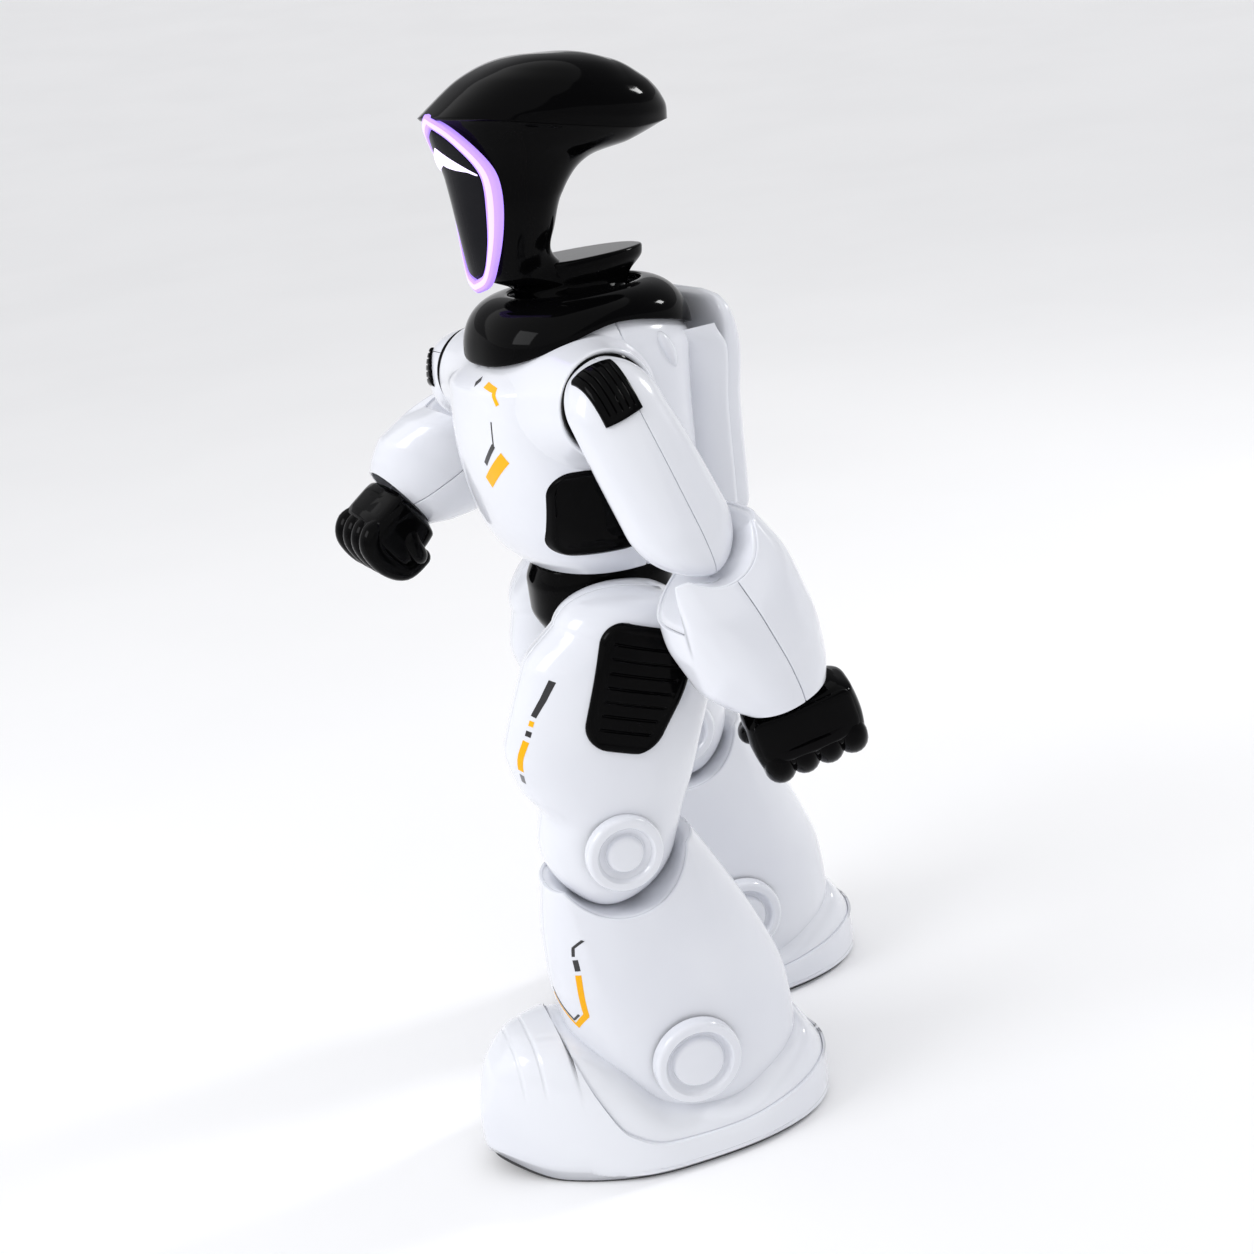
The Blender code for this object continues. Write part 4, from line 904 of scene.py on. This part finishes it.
def tube(path, sizes):
    """A round-ended bar along a smooth path; sizes are its radii at the path's points."""
    steps_between = 6
    fine = spline([Vector(p) for p in path], steps_between)
    radii = [a + (b - a) * k / steps_between for a, b in zip(sizes, sizes[1:]) for k in range(steps_between)]
    radii.append(sizes[-1])
    runs = [(fine[min(i + 1, len(fine) - 1)] - fine[max(i - 1, 0)]).normalized() for i in range(len(fine))]
    rings = []
    for k in range(5):
        a = pi / 2 * k / 5
        rings.append((fine[0] - runs[0] * radii[0] * cos(a), runs[0], radii[0] * sin(a)))
    rings += [(p, run, r) for p, run, r in zip(fine, runs, radii)]
    for k in range(1, 6):
        a = pi / 2 * k / 5
        rings.append((fine[-1] + runs[-1] * radii[-1] * sin(a), runs[-1], radii[-1] * cos(a)))
    rows = []
    across = runs[0].orthogonal().normalized()
    for middle, run, radius in rings:
        across = (across - run * across.dot(run)).normalized()
        up = run.cross(across)
        rows.append([tuple(middle + (across * cos(a) + up * sin(a)) * radius) for a in circle(20)])
    return grid(rows, True)


FINGER = ((5.6, -14.0), (6.6, -19.6), (3.0, -23.8), (-6.0, -24.6), (-13.5, -21.5), (-15.5, -13.5))


def hand_shape():
    """Back of the hand, four curled fingers and a thumb."""
    palm = Form([(-22.5, 7.4, 12.0, 17.0, 16.6, 4.2), (-20, 10.2, 14.0, 18.8, 18.2, 4.2),
                 (-12, 11.4, 14.6, 19.6, 19.0, 4.0), (-4, 11.2, 14.0, 18.8, 18.4, 3.8),
                 (-0.8, 9.2, 11.5, 14.4, 14.4, 2.6)])
    rows = [whole_ring(palm, -22.5 + 21.7 * k / 40, 96, 1.5 * max(0.0, 1 - k / 3) ** 2) for k in range(41)]
    shapes = [capped(grid(rows, True), 96)]
    for k in range(4):
        y = -13.0 + 8.6 * k
        path = [(x, y, z) for x, z in FINGER]
        shapes.append(tube(path, [4.0, 5.2, 5.4, 5.2, 4.6, 3.9]))
    thumb = [(-2.0, -13.0, -7.0), (-5.0, -17.6, -12.0), (-12.0, -16.5, -14.0), (-16.5, -8.5, -14.0)]
    return join(*shapes, tube(thumb, [3.6, 3.8, 3.8, 3.6]))


def hand_plate():
    """Raised rounded plate on the back of the hand."""
    def at(level, a):
        inset, lift = level
        y, z = -0.3 + (17.0 - inset) * power(cos(a), 0.3), -9.6 + (8.6 - inset) * power(sin(a), 0.34)
        return 11.2 + lift - 0.008 * y * y, y, z
    levels = ((0.0, -0.6), (0.0, 0.2), (0.5, 0.7), (1.4, 0.9), (4.0, 1.05))
    return topped(sheet(levels, circle(72), at, True), 72)


def build_arm(side):
    add = limb(side)
    for half, start in (("front", FRONT), ("rear", REAR)):
        casing = leaned(half_sheet(UPPER_ARM_FORM, start, 50, 20, 56, 1))
        add("upper_arm_%s_casing" % half, casing, "upper_arm", WHITE, ["upper_arm_%s_shell" % half],
            wall=WALL, bevel=0.3, outward=(8, 0, -18))
        casing = leaned(half_sheet(FOREARM_FORM, start, 60, 0, 60, 1, warp=elbow_rim))
        add("forearm_%s_casing" % half, casing, "forearm", WHITE, ["forearm_%s_shell" % half],
            wall=1.3, bevel=0.4, outward=(16, 0, -38))
    cup = leaned(dish(FOREARM_FORM, elbow_rim, ELBOW_R + 0.5, (0, -20.5), 18, 96, elbow_limit))
    add("elbow_dish", cup, "forearm", WHITE, wall=0.3, outward=(16, 0, -45))
    add("elbow_peg", leaned(moved(capsule_bar(9.0, 2.5), (0, 0, -36))), "forearm", GREY, ["elbow_link"])
    add("shoulder_grip", leaned(arm_pad()), "upper_arm", BLACK, ["shoulder_pad"], wall=1.0, outward=(0, 4, 0))
    hub = [(-32, 5.0), (-16.2, 5.0), (-16.2, 15.7), (-15.9, 16.1), (-15.2, 16.2), (-10.6, 15.9), (-10.3, 16.2),
           (-9.6, 16.5), (-8.6, 16.4), (-8.3, 16.0), (-8.3, 5.4), (-7, 5.0)]
    add("shoulder_disc", turned(hub, 84), "upper_arm", BLACK, ["shoulder_hub"])
    add("fist", hand_shape(), "fist", BLACK, ["hand"])
    add("fist_plate", hand_plate(), "fist", BLACK, outward=(0, 0, -10))


# ---- head ----
# height, half width, y of the front, y of the back, squareness
COLUMN_ROWS = [
    (303.5, 20.5, -18.5, 23.0, 2.0),
    (308.5, 19.0, -18.5, 21.0, 2.0),
    (312.5, 13.0, -19.5, 12.0, 2.2),
    (317.5, 12.5, -28.5, 0.0, 2.4),
    (326.0, 14.5, -31.0, -7.0, 2.5),
    (333.0, 17.0, -31.8, -5.0, 2.5),
    (341.0, 19.5, -32.6, -2.5, 2.5),
    (348.5, 21.0, -33.5, 4.0, 2.5),
    (353.0, 23.0, -34.5, 12.0, 2.4),
    (357.0, 26.5, -36.5, 29.0, 2.4),
    (361.4, 29.9, -41.5, 42.5, 2.4),
]
BULB_ROWS = [
    (361.4, 30.0, -42.5, 42.5, 2.5),
    (365.5, 30.8, -37.6, 42.2, 2.5),
    (370.0, 30.2, -32.3, 40.2, 2.5),
    (374.4, 28.4, -26.8, 36.9, 2.5),
    (378.4, 25.6, -20.6, 32.3, 2.4),
    (381.6, 22.0, -14.0, 27.7, 2.4),
    (383.8, 17.5, -7.4, 23.2, 2.3),
    (385.2, 12.0, 1.0, 18.4, 2.2),
    (385.9, 6.5, 6.0, 14.0, 2.1),
    (386.1, 0.0, 9.5, 10.5, 2.0),
]
FACE_OUTLINE = ((0, 374.2), (8.0, 370.2), (13.8, 363.6), (16.8, 356.0), (17.2, 347), (15.4, 336),
                (12.0, 325.5), (7.2, 317), (0, 314.2))


def brow_rise(y, z):
    """The bulb's lower rim climbs towards the brow."""
    return 11.5 * min(1.0, max(0.0, (20.0 - y) / 62)) ** 1.15 * min(1.0, max(0.0, (z - 344.0) / 16.0))


def head_ring(rows, z, around):
    heights = [row[0] for row in rows]
    half, front, back, square = (blend(z, heights, [row[k] for row in rows]) for k in range(1, 5))
    outline = [(half * power(cos(a), 2 / square),
                (front + back) / 2 + (back - front) / 2 * power(sin(a), 2 / square)) for a in circle(around)]
    return [(x, y, z + brow_rise(y, z)) for x, y in outline]


def spline(points, steps):
    """A smooth curve through points."""
    curve = []
    for i in range(len(points) - 1):
        p0, p1, p2, p3 = (points[min(max(k, 0), len(points) - 1)] for k in (i - 1, i, i + 1, i + 2))
        for k in range(steps):
            t = k / steps
            curve.append(0.5 * (2 * p1 + (p2 - p0) * t + (2 * p0 - 5 * p1 + 4 * p2 - p3) * t * t
                                + (3 * p1 - p0 - 3 * p2 + p3) * t ** 3))
    return curve + [points[-1]]


def face_y(x, z):
    return blend(z, (313, 320, 336, 352, 363, 375), (-33.6, -34.0, -35.0, -36.6, -40.0, -42.9)) + x * x / 42


FACE_CURVE = spline([Vector(p) for p in FACE_OUTLINE], 16)
FACE_STEPS, FACE_MIDDLE = 160, 345  # points round the face's outline, and the height of its middle


def face_edge(share, inset):
    """Point of the face's outline, 0 at the top round by +X to 1; inset shrinks it."""
    half = (share * 2 if share <= 0.5 else 2 - share * 2) * (len(FACE_CURVE) - 1)
    step = min(len(FACE_CURVE) - 2, int(half))
    x, z = FACE_CURVE[step].lerp(FACE_CURVE[step + 1], half - step)
    scale = 1 - inset / hypot(x, z - FACE_MIDDLE)
    return (x if share <= 0.5 else -x) * scale, FACE_MIDDLE + (z - FACE_MIDDLE) * scale


def face_loop(profile):
    """Sweeps (inset, height in front) pairs round the face's outline."""
    rows = []
    for inset, front in profile:
        edge = [face_edge(k / FACE_STEPS, inset) for k in range(FACE_STEPS)]
        rows.append([(x, face_y(x, z) - front, z) for x, z in edge])
    return grid(rows + [rows[0]], True)


def eye():
    """Half of the lit chevron, from the middle of the face outwards."""
    def at(r, k):
        v, t = r / 8, k / 40
        x, high = 12.6 * t, 363.4 - 9.6 * t ** 1.15
        low = min(357.6 - 3.4 * t ** 0.7 - 0.9 * smooth(0.75, 1.0, t), high - 0.15)
        z = low + (high - low) * v
        return x, face_y(x, z) - 1.2 + 0.9 * t ** 2 - 0.7 * sin(pi * v) ** 0.5 * (1 - t) ** 0.3, z
    return sheet(range(9), range(41), at)


def face_screen():
    """The dark domed plate inside the lit outline."""
    def at(r, k):
        share = 1 - r / 30
        dome = 0.9 * (1 - share ** 2.5) - 0.9 * smooth(0.97, 1.0, share)
        x, z = face_edge(k / FACE_STEPS, 4.5)
        x, z = x * share, FACE_MIDDLE + (z - FACE_MIDDLE) * share
        return x, face_y(x, z) - 0.25 - dome, z
    return sheet(range(31), range(FACE_STEPS), at, True)


def build_head():
    add = rider(HEAD, "head")
    around = 128
    rows = [head_ring(COLUMN_ROWS, 303.5 + 57.9 * k / 90, around) for k in range(91)]
    add("head_column", grid(rows, True), BLACK, ["head_column_shell"],
        wall=1.2, bevel=0.3, outward=(0, -10, 335))
    nape = Form([(306.5, 15.5, 15.5, 13.5, 21, 2.2), (312, 14.5, 14.5, 13.5, 24, 2.3),
                 (317.5, 15, 15, 13.5, 30.0, 2.3), (320.5, 14.5, 14.5, 13.5, 30.5, 2.3)])
    rows = [whole_ring(nape, 306.5 + 13.2 * k / 24, 96) for k in range(25)]
    rows += [whole_ring(nape, 319.7 + 0.8 * sin(a), 96, 0.8 - 0.8 * cos(a)) for a in (0.3, 0.7, 1.1, 1.57)]
    rows += [whole_ring(nape, 320.5, 96, inset) for inset in (2.0, 5.0)]
    add("nape_plate", capped(grid(rows, True), 96), BLACK)
    heights = [361.5 + 24.6 * sin(pi / 2 * k / 80) for k in range(81)]
    rows = [head_ring(BULB_ROWS, z, around) for z in heights]
    add("head_bulb", grid(rows, True), BLACK, ["helmet_shell"], wall=1.2, bevel=0.3, outward=(0, 0, 370))
    strip = [(0.0, -1.2), (0.0, 0.2), (0.35, 0.7), (1.1, 0.95)]
    strip += [(4.2 - inset, front) for inset, front in reversed(strip)]
    add("face_light", face_loop(strip), LILAC, ["face_light_ring"])
    core = [(1.2, 0.5), (1.2, 1.0), (1.5, 1.12), (2.7, 1.12), (3.0, 1.0), (3.0, 0.5)]
    add("face_light_core", face_loop(core), LILAC_SOFT)
    add("face_screen", face_screen(), FACE, ["face_plate"], outward=(0, 0, FACE_MIDDLE))
    for side in SIGNS:
        replaced = ["eye_lens"] if side == "left" else []
        add(side + "_eye", eye(), LILAC_CORE, replaced, side=side, outward=(0, 0, 358))


# ---- the rest of the CAD, lights, floor and camera ----
def finish_nodes():
    looks = {"hip_axle": STEEL, "walk_gearmotor": GREY, "battery_pack": GREY, "main_board": BOARD,
             "power_switch": BLACK, "left_wheel_axle": RUBBER, "right_wheel_axle": RUBBER}
    for name, material in looks.items():
        own = frame["nodes"][name].data.materials
        own.clear()
        own.append(material)


def direction(azimuth, elevation):
    """Towards a point round from the front by azimuth and up by elevation, in degrees."""
    a, e = radians(azimuth), radians(elevation)
    return Vector((sin(a) * cos(e), -cos(a) * cos(e), sin(e)))


def add_light(name, azimuth, elevation, distance, size, energy, colour=(1, 1, 1)):
    data = bpy.data.lights.new(name, "AREA")
    data.energy, data.size, data.color = energy, size, colour
    lamp = placed(name, data)
    lamp.location = direction(azimuth, elevation) * distance + AIM
    lamp.rotation_euler = (lamp.location - AIM).to_track_quat("Z", "Y").to_euler()


def build_stage():
    floor_mesh = bpy.data.meshes.new("floor")
    around = 96
    rings = []
    for reach in (14.0, 10.0, 7.0, 4.5, 3.0, 2.0, 1.5, 0.8):  # metres; outermost first, so it faces up
        rise = 0.02 * max(0.0, reach - 1.5) ** 2
        rings.append([(reach * cos(a), reach * sin(a), rise) for a in circle(around)])
    points, faces = topped(grid(rings, True), around)
    floor_mesh.from_pydata(points, [], faces)
    floor_mesh.shade_smooth()
    floor = placed("floor", floor_mesh)
    material, tree, shader = new_material("floor_paper")
    put(shader, Roughness=0.9, Specular_IOR_Level=0.1)
    paper = ramp(tree, noise(tree, 3.0), (0.93, 0.93, 0.94), (0.95, 0.95, 0.96))
    tree.links.new(paper, shader.inputs["Base Color"])
    floor_mesh.materials.append(material)
    world = bpy.data.worlds.new("studio")
    world.use_nodes = True
    put(world.node_tree.nodes["Background"], Color=(0.97, 0.975, 1.0, 1), Strength=0.35)
    bpy.context.scene.world = world
    add_light("rear_softbox", 182, 34, 1.3, 0.15, 4.0)
    add_light("front_softbox", 8, 34, 1.3, 0.5, 5.0, (0.97, 0.98, 1.0))
    sky = bpy.data.lights.new("sky", "SUN")
    sky.energy, sky.angle = 1.7, radians(130)
    placed("sky", sky).rotation_euler = (radians(28), radians(10), 0)
    bpy.context.scene.view_settings.view_transform = "Standard"


AZIMUTH, ELEVATION, ROLL, DISTANCE = 75.0, 20.0, 7.6, 0.652
AIM = Vector((-0.0029, -0.0008, 0.1815))


def build_camera():
    data = bpy.data.cameras.new("camera")
    data.lens, data.sensor_width = 50, 36
    camera = placed("camera", data)
    back, roll = direction(AZIMUTH, ELEVATION), radians(ROLL)
    right = direction(AZIMUTH + 90, 0)
    up = back.cross(right)
    right, up = right * cos(roll) - up * sin(roll), right * sin(roll) + up * cos(roll)
    camera.matrix_world = (Matrix.Translation(AIM + back * DISTANCE)
                           @ Matrix((right, up, back)).transposed().to_4x4())
    bpy.context.scene.camera = camera


build_camera()
build_stage()
finish_nodes()
build_pelvis()
build_torso()
build_backpack()
build_head()
for side in SIGNS:
    build_leg(side)
    build_arm(side)
